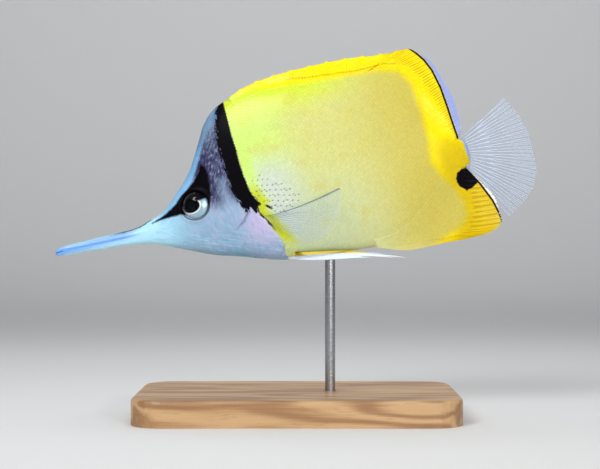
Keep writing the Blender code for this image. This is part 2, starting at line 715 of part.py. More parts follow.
def build():
    clear_scene()
    fish = bpy.data.objects.new("fish_pose", None)
    bpy.context.scene.collection.objects.link(fish)
    fish.location = Vector((SNOUT_TIP_X, 0.0, SNOUT_TIP_HEIGHT)) * MM
    fish.rotation_euler = (0.0, -math.radians(NOSE_DOWN_DEG), 0.0)
    flesh_nodes(fish)
    eyes(fish)
    midline_fins(fish)
    tail_fin(fish)
    paired_fins(fish)
    stand()


build()
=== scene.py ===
"""Looks of the big longnose butterflyfish: one skin, a coat of scales, rayed fins, eyes, and the finish
of the display stand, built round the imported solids.

The fish is laid out level and in millimetres, then tipped nose down and lifted over the stand. Along
runs back from the tip of the snout, height is over the line from that tip to the root of the tail
fin, and side is negative on the fish's left.
"""

import math
from functools import lru_cache

import bmesh
import bpy
import numpy as np
from bpy.props import FloatProperty, FloatVectorProperty, PointerProperty
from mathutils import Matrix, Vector


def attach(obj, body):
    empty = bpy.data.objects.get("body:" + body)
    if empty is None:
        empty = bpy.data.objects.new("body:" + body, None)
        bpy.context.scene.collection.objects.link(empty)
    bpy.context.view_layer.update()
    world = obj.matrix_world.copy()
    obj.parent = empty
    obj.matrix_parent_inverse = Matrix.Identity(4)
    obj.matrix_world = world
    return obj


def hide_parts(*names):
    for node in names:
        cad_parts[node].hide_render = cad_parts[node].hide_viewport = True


bl_info = {
    "name": "Big longnose butterflyfish",
    "version": (1, 0, 0),
    "blender": (4, 5, 0),
    "location": "View3D > Sidebar > Butterflyfish",
    "description": "Skin, scales, fins, eyes and stand finish of a life-size butterflyfish model",
    "category": "Object",
}

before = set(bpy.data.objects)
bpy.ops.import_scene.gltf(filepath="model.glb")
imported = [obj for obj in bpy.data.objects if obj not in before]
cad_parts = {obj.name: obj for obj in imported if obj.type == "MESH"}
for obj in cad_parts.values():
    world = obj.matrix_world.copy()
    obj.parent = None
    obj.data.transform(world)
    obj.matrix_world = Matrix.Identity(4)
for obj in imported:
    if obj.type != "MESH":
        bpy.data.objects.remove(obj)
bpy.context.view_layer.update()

# Lengths in this file are in millimetres, times MM where they become mesh coordinates
MM = 0.001

# Pose of the fish above the floor
NOSE_DOWN = math.radians(13.5)
SNOUT_TIP = (-94.2, 0.0, 63.8)

# Side outline of the flesh, as (distance along, height)
TOP_LINE = (
    (0.0, 0.3), (1.2, 1.3), (7.0, 1.7), (30.0, 1.8), (34.5, 2.3), (38.5, 3.7), (42.6, 4.7),
    (46.0, 6.7), (52.2, 12.2), (58.4, 18.9), (62.7, 26.0), (67.9, 35.0), (72.0, 39.2),
    (76.8, 41.6), (84.0, 43.3), (93.0, 44.6), (101.0, 44.6), (110.0, 43.5), (120.5, 42.4),
    (131.0, 41.5), (137.0, 40.3), (141.5, 37.2), (145.9, 30.8), (151.2, 20.9), (156.2, 12.4),
    (160.0, 8.3), (163.2, 6.5), (166.0, 6.0),
)
BOTTOM_LINE = (
    (0.0, -1.2), (1.2, -2.0), (11.6, -2.7), (20.6, -3.5), (27.0, -3.9), (32.7, -4.8),
    (37.0, -5.7), (40.3, -6.9), (46.9, -9.7), (53.0, -12.4), (59.4, -15.2), (70.8, -18.8),
    (78.0, -21.4), (86.0, -23.6), (93.0, -24.6), (104.0, -25.6), (117.5, -26.8),
    (124.0, -27.1), (130.0, -26.5), (136.0, -24.3), (145.0, -18.0), (155.0, -9.8),
    (160.0, -6.5), (163.5, -5.3), (166.0, -5.2),
)
# Half the flesh's thickness, its height where it is thickest, and half of its flat top and keel
HALF_WIDTH = (
    (0.0, 0.8), (1.2, 1.4), (3.4, 1.3), (12.0, 1.7), (27.0, 2.2), (35.0, 3.0), (42.0, 4.4),
    (50.0, 6.5), (58.0, 7.7), (66.0, 8.8), (76.0, 10.1), (86.0, 10.7), (98.0, 10.3),
    (112.0, 9.1), (124.0, 7.6), (136.0, 5.9), (147.0, 4.3), (157.0, 3.1), (166.0, 2.4),
)
WIDEST_HEIGHT = (
    (0.0, -0.4), (30.0, -1.5), (42.0, -1.6), (58.0, 1.0), (76.0, 1.0), (90.0, 2.0),
    (120.0, 4.0), (145.0, 3.5), (166.0, 0.3),
)
TOP_EDGE = ((0.0, 0.4), (40.0, 0.7), (60.0, 1.3), (76.0, 1.0), (100.0, 1.1), (166.0, 1.0))
KEEL_EDGE = ((0.0, 0.4), (40.0, 0.8), (80.0, 1.9), (104.0, 2.1), (120.0, 1.1), (166.0, 1.0))
TOP_TAPER = ((0.0, 0.5), (50.0, 0.5), (80.0, 0.68), (166.0, 0.7))
KEEL_TAPER = ((0.0, 0.5), (60.0, 0.5), (90.0, 0.52), (130.0, 0.68), (166.0, 0.6))
FLESH_END = 166.0

# Spacing of the skin's cross sections along it, the rounding of its ends, and its points round
STATION_STEP = (
    (0.9, 0.17), (3.6, 0.18), (6.0, 0.75), (30.0, 0.8), (36.0, 0.36), (46.0, 0.3), (84.0, 0.3),
    (104.0, 0.9), (164.0, 1.0),
)
NOSE_ROUNDING, TAIL_ROUNDING = 0.9, 2.2
END_STATIONS = 8
POINTS_ROUND = 276
CROWN_SHARE = 0.35

# Mouth, nostrils, eye sockets and gill covers
MOUTH_HEIGHT, MOUTH_DEPTH = -0.4, 3.4
NOSTRILS = ((49.2, 4.9), (51.0, 6.1))
EYE_ALONG, EYE_HEIGHT = 57.6, 5.0
# Middle of the pupil from the middle of the eye, and half its length and height
PUPIL_CENTRE, PUPIL_HALF = (-1.45, -0.1), (3.35, 2.5)
# Radius within which no scales grow, and the one of the dark line round the socket
EYE_BARE, SOCKET_LINE = 6.9, 5.75
GILL_EDGE = (
    (79.0, 8.6), (80.4, 5.4), (81.0, 2.5), (80.6, 0.0), (80.3, -2.5), (81.0, -4.8), (82.3, -6.8),
    (83.7, -9.2), (85.1, -12.3), (86.5, -15.3), (87.2, -18.1), (86.7, -20.2), (84.6, -21.4),
    (79.5, -20.4), (73.0, -18.0), (64.0, -14.6),
)
PREOPERCLE = ((77.3, -0.6), (76.4, -3.0), (74.6, -5.4), (72.0, -7.2), (67.5, -9.2))

# Where the markings lie in side view
NAPE_BAND = (
    (77.0, 43.5), (77.1, 37.5), (77.3, 32.7), (77.3, 27.3), (77.9, 22.3), (77.9, 17.5),
    (78.1, 13.2), (78.8, 8.7), (79.4, 4.8), (80.8, 1.7), (82.2, 0.2), (82.3, -0.6), (80.6, -1.5),
    (80.3, -3.7), (79.2, -3.2), (78.3, -1.4), (76.4, -2.5), (74.4, 1.2), (73.0, 5.8), (72.4, 10.8),
    (71.9, 17.9), (71.0, 25.1), (71.6, 30.2), (72.8, 35.9), (74.8, 43.0),
)
FIN_BASE_MARK = ((83.6, -1.2), (84.6, -1.6), (86.4, -3.6), (85.2, -3.2), (83.9, -2.2))
EYE_MASK = (
    (39.6, 2.1), (44.3, 3.7), (47.9, 5.5), (50.7, 7.4), (53.2, 9.7), (56.0, 11.6), (59.2, 13.9),
    (61.5, 16.6), (63.1, 19.4), (64.5, 18.4), (65.0, 15.0), (64.7, 10.5), (64.2, 6.0), (63.2, 3.6),
    (61.6, 3.2), (57.7, 3.0), (53.6, 2.0), (51.4, 2.7), (47.6, 2.7), (44.0, 2.7),
)
BODY_FRONT = (
    (-30.0, 87.6), (-21.9, 87.4), (-18.3, 87.3), (-14.4, 86.1), (-10.9, 84.5), (-6.6, 82.5),
    (-3.3, 80.6), (-1.2, 81.0), (0.1, 81.8), (2.0, 80.6), (5.2, 79.3), (8.9, 78.6), (13.6, 78.1),
    (22.9, 77.6), (34.7, 77.2), (41.6, 76.9), (60.0, 76.8),
)
PALE_FLANK = (
    (70.0, 44.6), (84.0, 44.4), (92.0, 44.2), (100.0, 43.2), (110.0, 42.4), (124.0, 40.9), (138.0, 40.2),
    (146.5, 38.0), (150.2, 32.0), (151.8, 20.0), (151.4, 8.0), (150.6, 0.0), (153.6, -6.0),
    (157.6, -12.0), (160.2, -18.0), (160.0, -24.0), (156.0, -27.8), (147.0, -31.0), (134.0, -36.0),
    (110.0, -36.0), (70.0, -36.0),
)
DORSAL_LINE = (
    (151.6, 46.2), (154.6, 43.0), (157.2, 39.4), (159.2, 35.0), (160.9, 27.7), (161.8, 19.5),
    (162.3, 13.0), (162.7, 8.1), (163.0, 4.0),
)
ANAL_LINE = (
    (160.6, -3.6), (162.4, -4.9), (163.8, -6.6), (167.3, -12.6), (170.5, -20.0), (171.9, -25.6),
    (172.2, -28.8), (170.0, -34.0),
)
ANAL_SPOT = (
    (158.3, -8.3), (159.2, -6.4), (161.4, -5.2), (163.5, -5.6), (165.4, -8.6), (167.3, -11.6),
    (165.6, -12.6), (163.6, -13.6), (161.4, -14.0), (159.5, -12.2), (158.4, -10.4),
)
DORSAL_SHEATH = (
    (96.0, 45.0), (101.2, 44.8), (110.0, 43.3), (120.5, 42.3), (131.0, 41.3), (141.3, 41.6),
    (146.0, 40.6),
)
# Middle of the chest's dots, half the length and width of their patch, which lies across from upper
# front to lower rear, their spacing along and up, and the slope of their rows
CHEST_DOTS = ((88.8, 1.6), (10.5, 5.4))
DOT_SPACING, DOT_SLOPE = (1.85, 2.1), -0.2

# Scales: length from one to the next in a row, along the fish
SCALE_PITCH = (
    (42.0, 0.62), (52.0, 0.78), (66.0, 0.94), (78.0, 1.12), (92.0, 1.38), (104.0, 1.4), (116.0, 1.32),
    (140.0, 1.2), (158.0, 1.08), (166.0, 0.9),
)
SCALE_FRONT = 44.0
SCALE_SIDES = 8
# Spacing of scale rows, and size of a fin's scales, as shares of the pitch along the row
ROW_SPACING = 0.53
FIN_SCALE_SHARE = 0.85
SCALE_THICKNESS = 0.06

# Where yellow gives way to the clear tail fin: distance along at height 1, and its lean with height
TAIL_EDGE, TAIL_EDGE_LEAN = 164.6, -0.12

# Fins on the midline: outline of the margin, and which share of the root each share of it grows from
SPINY_ROOT = (78.6, 129.3)
SPINY_MARGIN = (
    (78.4, 41.9), (80.6, 43.2), (86.0, 45.3), (94.0, 46.9), (106.0, 47.6), (118.0, 47.7), (130.0, 47.2),
    (140.0, 45.9), (148.7, 45.4),
)
SPINE_COUNT = 11
SOFT_ROOT = (129.0, 162.6)
SOFT_MARGIN = (
    (148.4, 45.4), (152.4, 45.1), (155.6, 42.9), (160.2, 37.6), (162.9, 29.6), (165.1, 19.9),
    (165.2, 12.9), (164.8, 9.4), (163.7, 7.5),
)
SOFT_SHARES = (
    (0.0, 0.0), (0.09, 0.015), (0.17, 0.06), (0.325, 0.25), (0.51, 0.47), (0.72, 0.66), (0.88, 0.79),
    (0.95, 0.9), (1.0, 1.0),
)
SOFT_RAY_COUNT = 25
ANAL_ROOT = (120.5, 162.2)
ANAL_MARGIN = (
    (120.8, -26.8), (124.6, -28.3), (136.0, -31.6), (150.0, -31.9), (157.0, -32.3), (165.0, -32.2),
    (169.6, -31.1), (172.5, -28.2), (172.2, -20.6), (168.0, -12.2), (164.0, -6.4),
)
ANAL_SHARES = (
    (0.0, 0.0), (0.36, 0.12), (0.65, 0.2), (0.72, 0.31), (0.79, 0.46), (0.91, 0.76), (1.0, 1.0),
)
# How far an anal ray bows down at its middle
ANAL_BOW = ((0.0, 0.0), (0.3, 0.3), (0.65, 1.3), (1.0, 0.0))
ANAL_RAY_COUNT = 21
TAIL_ROOT = ((163.4, 5.9), (163.4, -5.1))
TAIL_MARGIN = (
    (184.9, 18.4), (189.4, 9.0), (191.2, 0.0), (191.2, -10.4), (187.6, -19.4), (176.0, -28.2),
)
TAIL_RAY_COUNT = 17
TAIL_SWING = 0.032
TAIL_SWING_START = 164.9
FIN_WAVE, WAVE_ALONG, WAVE_UP = 0.35, 6.0, 9.0
# Hollow in which a midline fin leaves the flesh: where it starts inside the outline and ends outside
# it, how far under the solids' face it starts, and the share of a fin over which it fades at both ends
FAIRING_INSIDE, FAIRING_OUTSIDE = 2.6, 8.0
FAIRING_SINK = 0.1
FAIRING_FADE = 0.03
FIN_ROOT_DEPTH = 4.5
# How far out the scales reach over each midline fin, and where its rays show, as shares of its height
SPINY_COAT, SOFT_COAT, ANAL_COAT = 0.84, 0.63, 0.7
SPINY_BARE, SOFT_BARE, ANAL_BARE = 0.8, 0.55, 0.62

# Paired fins
PECTORAL_ROOT = ((81.9, -4.5), (83.9, -7.3), (86.4, -11.2))
PECTORAL_SAG = 4.6
PECTORAL_MARGIN = (
    (113.4, -1.6), (113.2, -5.4), (110.8, -11.0), (106.0, -16.4), (100.0, -19.4), (95.6, -19.0),
)
PECTORAL_RAY_COUNT = 15
PECTORAL_FLARE = math.radians(15.0)
PELVIC_ROOT = ((87.4, -23.4), (88.4, -22.5), (89.8, -21.4))
PELVIC_TIPS = (
    (113.0, -29.0), (135.3, -34.6), (121.6, -29.2), (117.0, -27.6), (112.0, -26.0), (107.0, -24.6),
)
PELVIC_BOW = ((0.0, -0.8), (0.2, 1.7), (0.4, 0.5), (1.0, 0.0))
PELVIC_CLEAR = 2.4
PELVIC_FLARE = math.radians(1.5)

# Photo's frame, and the scale at which one of its pixels spans a width at the fish
PHOTO_WIDTH, PHOTO_HEIGHT = 600, 469
PIXEL = 0.39
# Photo pixel over the middle of the stand's base, and the one at the level of the floor
FLOOR_PIXEL = (297.0, 416.0)

RANDOM_SEED = 11

# Names under which each point keeps its place and its distance into each marking
MARKS = (
    "along", "height", "body", "band", "mask", "deep", "spot", "stripe", "gill", "sheath", "eye", "crease",
)

# Round studio floor that bends up into a wall, in metres
BOWL_RADIUS, BOWL_BEND, BOWL_HEIGHT = 1.9, 0.9, 1.9
BOWL_TURNS, BOWL_SIDES = 12, 96
# Lights, in metres: name, place, target, size, and power as a share of the key light's
LIGHTS = (
    ("key", (-0.4, -0.62, 0.62), (0.0, 0.0, 0.08), (0.36, 0.36), 1.0),
    ("fill", (0.5, -0.8, 0.3), (0.0, 0.0, 0.08), (0.5, 0.4), 0.42),
    ("top", (0.05, 0.15, 0.75), (0.0, 0.0, 0.08), (0.7, 0.5), 0.6),
    ("sparkle", (0.27, -0.72, 0.2), (-0.04, 0.0, 0.08), (0.05, 0.05), 0.24),
    ("near_wall", (0.0, -0.3, 1.35), (0.0, -1.9, 0.5), (1.4, 0.3), 2.85),
    ("far_wall", (0.0, 0.3, 1.35), (0.0, 1.9, 0.5), (1.4, 0.3), 2.85),
)
LIGHT_SPREAD = math.radians(110.0)
ROOM_COLOUR, ROOM_STRENGTH = (0.97, 0.98, 1.0, 1.0), 0.22


def srgb(red, green, blue):
    """Linear colour of an 8-bit display colour."""
    shares = (value / 255 for value in (red, green, blue))
    return tuple(((s + 0.055) / 1.055) ** 2.4 if s > 0.04045 else s / 12.92 for s in shares)


def colour_property(name, description, red, green, blue):
    """A colour that the panel can change, from its 8-bit display values."""
    return FloatVectorProperty(
        name=name, description=description, subtype="COLOR", size=3, min=0.0, max=1.0,
        default=srgb(red, green, blue),
    )


def size_property(name, description, default):
    """A length in metres that the panel can change."""
    return FloatProperty(
        name=name, description=description, subtype="DISTANCE", unit="LENGTH", min=0.0,
        precision=5, default=default,
    )


class FishSizes(bpy.types.PropertyGroup):
    """Sizes of the coat, fins and eyes."""

    coat_depth: size_property("Coat depth", "How far the skin lies inside the solids", 0.15e-3)
    scale_rise: size_property("Scale rise", "How far a scale's free edge stands off the skin", 0.17e-3)
    web_thickness: size_property("Web thickness", "Thickness of a fin's web near its margin", 0.22e-3)
    ray_rise: size_property("Ray rise", "How much thicker a fin is on a ray", 0.34e-3)
    eye_radius: size_property("Eye radius", "Radius of the clear front of an eye", 5.6e-3)
    eye_depth: size_property("Eye depth", "Half the depth of the eyeball", 3.15e-3)
    eye_sink: size_property("Eye sink", "How deep the eyeball's middle lies under the skin", 1.9e-3)


class FishColours(bpy.types.PropertyGroup):
    """Colours of the skin, scales, fins and eyes."""

    nape_yellow: colour_property("Nape yellow", "Green-tinged yellow behind the nape band", 212, 240, 138)
    flank_yellow: colour_property("Flank yellow", "Pale yellow of the flank", 214, 214, 142)
    rear_yellow: colour_property("Rear yellow", "Khaki yellow before the tail stalk", 207, 193, 104)
    chest: colour_property("Chest", "Pale silver of the chest", 208, 216, 210)
    belly: colour_property("Belly", "Pale yellow green of the belly", 204, 216, 180)
    top_yellow: colour_property("Top yellow", "Green yellow under the spiny dorsal fin", 214, 234, 70)
    deep_yellow: colour_property("Deep yellow", "Yellow of the dorsal and anal fins", 252, 230, 8)
    ochre: colour_property("Ochre", "Darker yellow of the tail stalk and anal fin", 216, 186, 0)
    border_yellow: colour_property(
        "Border yellow", "Yellow green strip behind the gill opening", 202, 212, 44
    )
    # Brown of the dorsal sheath line, also used for the painted shadow between the rays of the rear dorsal
    # and anal fins
    sheath_brown_and_gap_shade: colour_property("Fin ray brown", "Brown between the rays and along the dorsal sheath", 176, 128, 8)
    # Blue grey of the cheek's streaks, also used for painted shade on the lower cheek and throat
    low_cheek: colour_property("Low cheek", "Blue grey shade of the cheek", 112, 172, 202)
    black: colour_property("Black", "Nape band, eye mask and anal spot", 5, 3, 9)
    snout: colour_property("Snout", "Pale blue of the snout", 176, 226, 248)
    # Painted shade: darker blue along the middle of the snout's side
    snout_side_shade: colour_property("Snout band", "Stronger blue along the snout", 96, 148, 222)
    cheek: colour_property("Cheek", "Silvery blue of the cheek", 156, 182, 206)
    opercle: colour_property("Gill cover", "Pink lavender of the gill cover", 206, 194, 228)
    stripe: colour_property("Forehead stripe", "Light blue along the forehead", 150, 200, 240)
    purple: colour_property("Purple", "Dusky purple over the eye", 60, 58, 90)
    hyaline: colour_property("Clear fin", "Tint of clear fin webs", 152, 176, 214)
    margin: colour_property("Fin margin", "Lavender of the dorsal fin's margin", 152, 164, 228)
    low_margin: colour_property("Anal margin", "White of the anal fin's margin", 250, 250, 255)
    fin_ray: colour_property("Clear fin ray", "Rays of the clear fins", 196, 214, 236)
    iris: colour_property("Iris", "Silver of the iris", 172, 204, 214)


class StageLook(bpy.types.PropertyGroup):
    """Stand finish, floor and light."""

    wood: colour_property("Wood", "Base colour of the stand's wood", 196, 158, 112)
    wood_grain: colour_property("Grain", "Darker grain of the wood", 150, 108, 68)
    steel: colour_property("Steel", "Colour of the rod", 176, 178, 182)
    floor: colour_property("Floor", "Colour of the floor and backdrop", 222, 223, 224)
    key_power: FloatProperty(
        name="Key light", description="Power of the key light", subtype="POWER", unit="POWER",
        min=0.0, default=1.76,
    )
    lens: FloatProperty(
        name="Lens", description="Focal length of the camera, in millimetres", min=10.0,
        default=85.0,
    )


def smooth_curve(points):
    """A function of arrays through the points that never swings past them between two of them."""
    xs, ys = np.array(points, float).T
    steps = np.diff(ys) / np.diff(xs)
    product, total = steps[:-1] * steps[1:], steps[:-1] + steps[1:]
    turning = product <= 0
    inner = np.where(turning, 0.0, 2 * product / np.where(turning, 1.0, total))
    slopes = np.concatenate((steps[:1], inner, steps[-1:]))

    def value(x):
        x = np.clip(x, xs[0], xs[-1])
        i = np.clip(np.searchsorted(xs, x, side="right") - 1, 0, len(xs) - 2)
        width = xs[i + 1] - xs[i]
        t = (x - xs[i]) / width
        rise = ys[i] * (1 + 2 * t) * (1 - t) ** 2 + ys[i + 1] * t * t * (3 - 2 * t)
        return rise + width * (slopes[i] * t * (1 - t) ** 2 - slopes[i + 1] * t * t * (1 - t))

    return value


def smooth_path(points, samples=240):
    """A function of the share of length along a rounded path through 2-D points."""
    points = np.array(points, float)
    marks = np.concatenate(([0.0], np.cumsum(np.linalg.norm(np.diff(points, axis=0), axis=1))))
    fine = np.linspace(0, marks[-1], samples + 1)
    line = np.stack([smooth_curve(np.stack((marks, points[:, k]), 1))(fine) for k in (0, 1)], 1)
    lengths = np.concatenate(([0.0], np.cumsum(np.linalg.norm(np.diff(line, axis=0), axis=1))))
    lengths /= lengths[-1]

    def at(share):
        return np.stack([np.interp(share, lengths, line[:, k]) for k in (0, 1)], -1)

    return at


top_line = smooth_curve(TOP_LINE)
bottom_line = smooth_curve(BOTTOM_LINE)
half_width = smooth_curve(HALF_WIDTH)
widest_height = smooth_curve(WIDEST_HEIGHT)
top_edge = smooth_curve(TOP_EDGE)
keel_edge = smooth_curve(KEEL_EDGE)
top_taper = smooth_curve(TOP_TAPER)
keel_taper = smooth_curve(KEEL_TAPER)
body_front = smooth_curve(BODY_FRONT)
scale_pitch = smooth_curve(SCALE_PITCH)


def ease(low, high, value):
    """0 below low, 1 above high, and a smooth step between."""
    t = np.clip((value - low) / (high - low), 0.0, 1.0)
    return t * t * (3 - 2 * t)


def bump_at(distance, width):
    """A soft round bump of height 1."""
    return np.exp(-((distance / width) ** 2))


def to_row(points):
    """Places on the level fish, as metres in the row frame."""
    points = np.asarray(points, float)
    c, s = math.cos(NOSE_DOWN), math.sin(NOSE_DOWN)
    x, y, z = points[..., 0], points[..., 1], points[..., 2]
    return (np.stack((x * c - z * s, y, x * s + z * c), -1) + SNOUT_TIP) * MM


def flesh_side(along, height):
    """Half the solids' thickness at places in side view."""
    middle = widest_height(along)
    upper = height >= middle
    reach = np.where(upper, top_line(along) - middle, middle - bottom_line(along))
    edge = np.where(upper, top_edge(along), keel_edge(along))
    taper = np.where(upper, top_taper(along), keel_taper(along))
    share = np.clip(np.abs(height - middle) / reach, 0.0, 1.0)
    return edge + (half_width(along) - edge) * (1 - share * share) ** taper


def running_count(places, pitch):
    """How many steps of a varying pitch fit up to each place along."""
    middles = (places[1:] + places[:-1]) / 2
    return np.concatenate(([0.0], np.cumsum(np.diff(places) / pitch(middles))))


def line_distance(along, height, line, closed=False):
    """Distance to a line in side view, signed by its side, and how far along it the nearest point is."""
    places = np.stack((along, height), -1).reshape(-1, 2)
    corners = np.array(line + (line[:1] if closed else ()), float)
    best = np.full(len(places), np.inf)
    side, where = np.zeros(len(places)), np.zeros(len(places))
    crossings = np.zeros(len(places), int)
    for i in range(len(corners) - 1):
        start, step = corners[i], corners[i + 1] - corners[i]
        rel = places - start
        t = np.clip(rel @ step / (step @ step), 0.0, 1.0)
        away = rel - t[:, None] * step
        distance = np.hypot(away[:, 0], away[:, 1])
        nearer = distance < best
        turn = step[0] * rel[:, 1] - step[1] * rel[:, 0]
        best = np.where(nearer, distance, best)
        side = np.where(nearer, np.sign(turn), side)
        where = np.where(nearer, (i + t) / (len(corners) - 1), where)
        spans = (start[1] > places[:, 1]) != (corners[i + 1][1] > places[:, 1])
        cut = start[0] + rel[:, 1] * step[0] / (step[1] if step[1] else 1e-9)
        crossings += spans & (places[:, 0] < cut)
    if closed:
        side = np.where(crossings % 2 == 1, 1.0, -1.0)
    return (best * side).reshape(np.shape(along)), where.reshape(np.shape(along))


def eye_distance(along, height):
    """Distance from the middle of the eye in side view."""
    return np.hypot(along - EYE_ALONG, height - EYE_HEIGHT)


def relief(along, height):
    """How far the skin's own forms stand off the plain flesh, in millimetres."""
    gill, where = line_distance(along, height, GILL_EDGE)
    fade = ease(0.0, 0.12, where) * (1 - ease(0.72, 1.0, where))
    flap = 0.34 * bump_at(gill, 2.6) * (1 - ease(-0.5, 0.15, gill))
    gutter = -0.42 * bump_at(gill - 0.75, 0.75) * ease(-0.2, 0.5, gill)
    lift = fade * (flap + gutter)
    crease, where = line_distance(along, height, PREOPERCLE)
    lift -= 0.3 * bump_at(crease, 0.6) * ease(0.0, 0.2, where) * (1 - ease(0.75, 1.0, where))
    eye = eye_distance(along, height)
    lift += 0.42 * bump_at(eye - 6.05, 0.55) - 1.5 * (1 - ease(4.8, 5.7, eye))
    lift -= 0.12 * bump_at(eye - 7.7, 0.8)
    for x, z in NOSTRILS:
        pit = np.hypot(along - x, height - z)
        lift += 0.2 * bump_at(pit - 0.75, 0.25) - 0.65 * (1 - ease(0.25, 0.6, pit))
    mouth = height - MOUTH_HEIGHT - 0.03 * along
    inside = 1 - ease(MOUTH_DEPTH - 0.5, MOUTH_DEPTH, along)
    lips = 1 - ease(1.6, 3.0, along)
    lift -= 0.55 * bump_at(mouth, 0.16) * inside
    lift += 0.22 * lips * (bump_at(mouth - 0.62, 0.38) + bump_at(mouth + 0.62, 0.38))
    lift -= 0.12 * bump_at(along - 3.3, 0.35)
    jaw = height - widest_height(along) - 0.2
    lift -= 0.1 * bump_at(jaw, 0.25) * ease(4.0, 7.0, along) * (1 - ease(30.0, 40.0, along))
    return lift


def station_places():
    """Cross sections along the flesh, each with the share of its size that it has, less at the ends."""
    turn = np.linspace(0.04, 1.0, END_STATIONS, endpoint=False) * math.pi / 2
    nose = NOSE_ROUNDING * (1 - np.cos(turn))
    tail = FLESH_END - TAIL_ROUNDING * (1 - np.cos(turn))
    fine = np.linspace(NOSE_ROUNDING, FLESH_END - TAIL_ROUNDING, 4000)
    counts = running_count(fine, smooth_curve(STATION_STEP))
    middle = np.interp(np.linspace(0, counts[-1], round(counts[-1]), endpoint=False), counts, fine)
    places = np.concatenate((nose, middle, tail[::-1]))
    sizes = np.concatenate((np.sin(turn), np.ones(len(middle)), np.sin(turn)[::-1]))
    return places, sizes


def half_ring(along, size, depth, count):
    """Half a cross section, from the keel's middle up the flank to the middle of the back."""
    middle = widest_height(along)
    turn = np.linspace(0, math.pi / 2, 10)
    climb = np.sin(math.pi * (np.linspace(0, 1, 161) - 0.5))
    sides, heights = [], []
    for edge, line, sign in ((keel_edge, bottom_line, -1), (top_edge, top_line, 1)):
        flat = max(edge(along) - depth, 0.05)
        sides.append(flat * np.sin(turn))
        heights.append(line(along) - sign * (depth + CROWN_SHARE * flat * (1 - np.cos(turn))))
    low, high = heights[0][-1], heights[1][-1]
    upper = climb > 0
    reach = np.where(upper, high - middle, middle - low)
    edge = np.where(upper, sides[1][-1], sides[0][-1])
    taper = np.where(upper, top_taper(along), keel_taper(along))
    flank = edge + (half_width(along) - depth - edge) * (1 - climb * climb) ** taper
    side = np.concatenate((sides[0][:-1], flank, sides[1][-2::-1])) * size
    height = np.concatenate((heights[0][:-1], middle + climb * reach, heights[1][-2::-1]))
    height = middle + (height - middle) * size
    arc = np.concatenate(([0.0], np.cumsum(np.hypot(np.diff(side), np.diff(height)))))
    even = np.linspace(0, arc[-1], count)
    widest = arc[9 + 80]
    return np.interp(even, arc, side), np.interp(even, arc, height), arc[-1], widest


def grid_normals(grid, wraps=False):
    """Unit normals of a grid of points, by (column, row)."""
    if wraps:
        padded = np.concatenate((grid[:, -2:-1], grid, grid[:, 1:2]), axis=1)
        up = np.gradient(padded, axis=1)[:, 1:-1]
    else:
        up = np.gradient(grid, axis=1)
    normal = np.cross(np.gradient(grid, axis=0), up)
    return normal / np.maximum(np.linalg.norm(normal, axis=-1, keepdims=True), 1e-9)


@lru_cache(maxsize=1)
def flesh_grid():
    """The skin as points by (cross section, place round it), their normals, and each section's arcs."""
    depth = bpy.context.scene.fish_sizes.coat_depth / MM
    places, sizes = station_places()
    half = POINTS_ROUND // 2 + 1
    rings = [half_ring(a, s, depth, half) for a, s in zip(places, sizes)]
    side = np.array([ring[0] for ring in rings])
    height = np.array([ring[1] for ring in rings])
    side = np.concatenate((-side, side[:, -2::-1]), axis=1)
    height = np.concatenate((height, height[:, -2::-1]), axis=1)
    along = np.repeat(places[:, None], side.shape[1], axis=1)
    grid = np.stack((along, side, height), -1)
    plain = grid_normals(grid, wraps=True)
    if plain[len(places) // 2, half // 2, 1] > 0:
        plain = -plain
    grid = grid + plain * (relief(along, height) * sizes[:, None])[..., None]
    normal = grid_normals(grid, wraps=True)
    normal *= np.sign(np.sum(normal * plain, axis=-1, keepdims=True))
    arcs = np.array([ring[2:] for ring in rings])
    return places, grid, normal, arcs


def sample(grid, column, row, wraps=False):
    """Values of a grid at fractional columns and rows."""
    last = grid.shape[1] - 1
    row = np.mod(row, last) if wraps else np.clip(row, 0, last - 1e-6)
    column = np.clip(column, 0, grid.shape[0] - 1 - 1e-6)
    i, j = column.astype(int), np.minimum(row.astype(int), last - 1)
    s, t = (column - i)[..., None], (row - j)[..., None]
    near = grid[i, j] * (1 - s) + grid[i + 1, j] * s
    far = grid[i, j + 1] * (1 - s) + grid[i + 1, j + 1] * s
    return near * (1 - t) + far * t


def markings(points):
    """What the materials need to know about each place: where it is, and how far inside each marking."""
    along, height = points[..., 0], points[..., 2]
    pale, _ = line_distance(along, height, PALE_FLANK, closed=True)
    return {
        "along": along,
        "height": height,
        "body": along - body_front(height),
        "band": np.maximum(
            line_distance(along, height, NAPE_BAND, closed=True)[0],
            line_distance(along, height, FIN_BASE_MARK, closed=True)[0],
        ),
        "mask": line_distance(along, height, EYE_MASK, closed=True)[0],
        "deep": ease(-2.6, 1.8, -pale),
        "spot": line_distance(along, height, ANAL_SPOT, closed=True)[0],
        "stripe": top_line(along) - height,
        "gill": line_distance(along, height, GILL_EDGE)[0],
        "sheath": line_distance(along, height, DORSAL_SHEATH)[0],
        "eye": eye_distance(along, height),
        "crease": line_distance(along, height, PREOPERCLE)[0],
    }


def add_attributes(mesh, values):
    """Stores a number for each point of a mesh under each name."""
    for name, value in values.items():
        layer = mesh.attributes.new(name, "FLOAT", "POINT")
        layer.data.foreach_set("value", np.ascontiguousarray(value, np.float32).ravel())


def add_piece(name, mesh, material, sharp_deg=50.0):
    """Puts a finished mesh in the scene as a piece that rides with the model."""
    mesh.shade_smooth()
    mesh.set_sharp_from_angle(angle=math.radians(sharp_deg))
    mesh.materials.append(material)
    piece = bpy.data.objects.new(name, mesh)
    bpy.context.scene.collection.objects.link(piece)
    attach(piece, "root")
    return piece


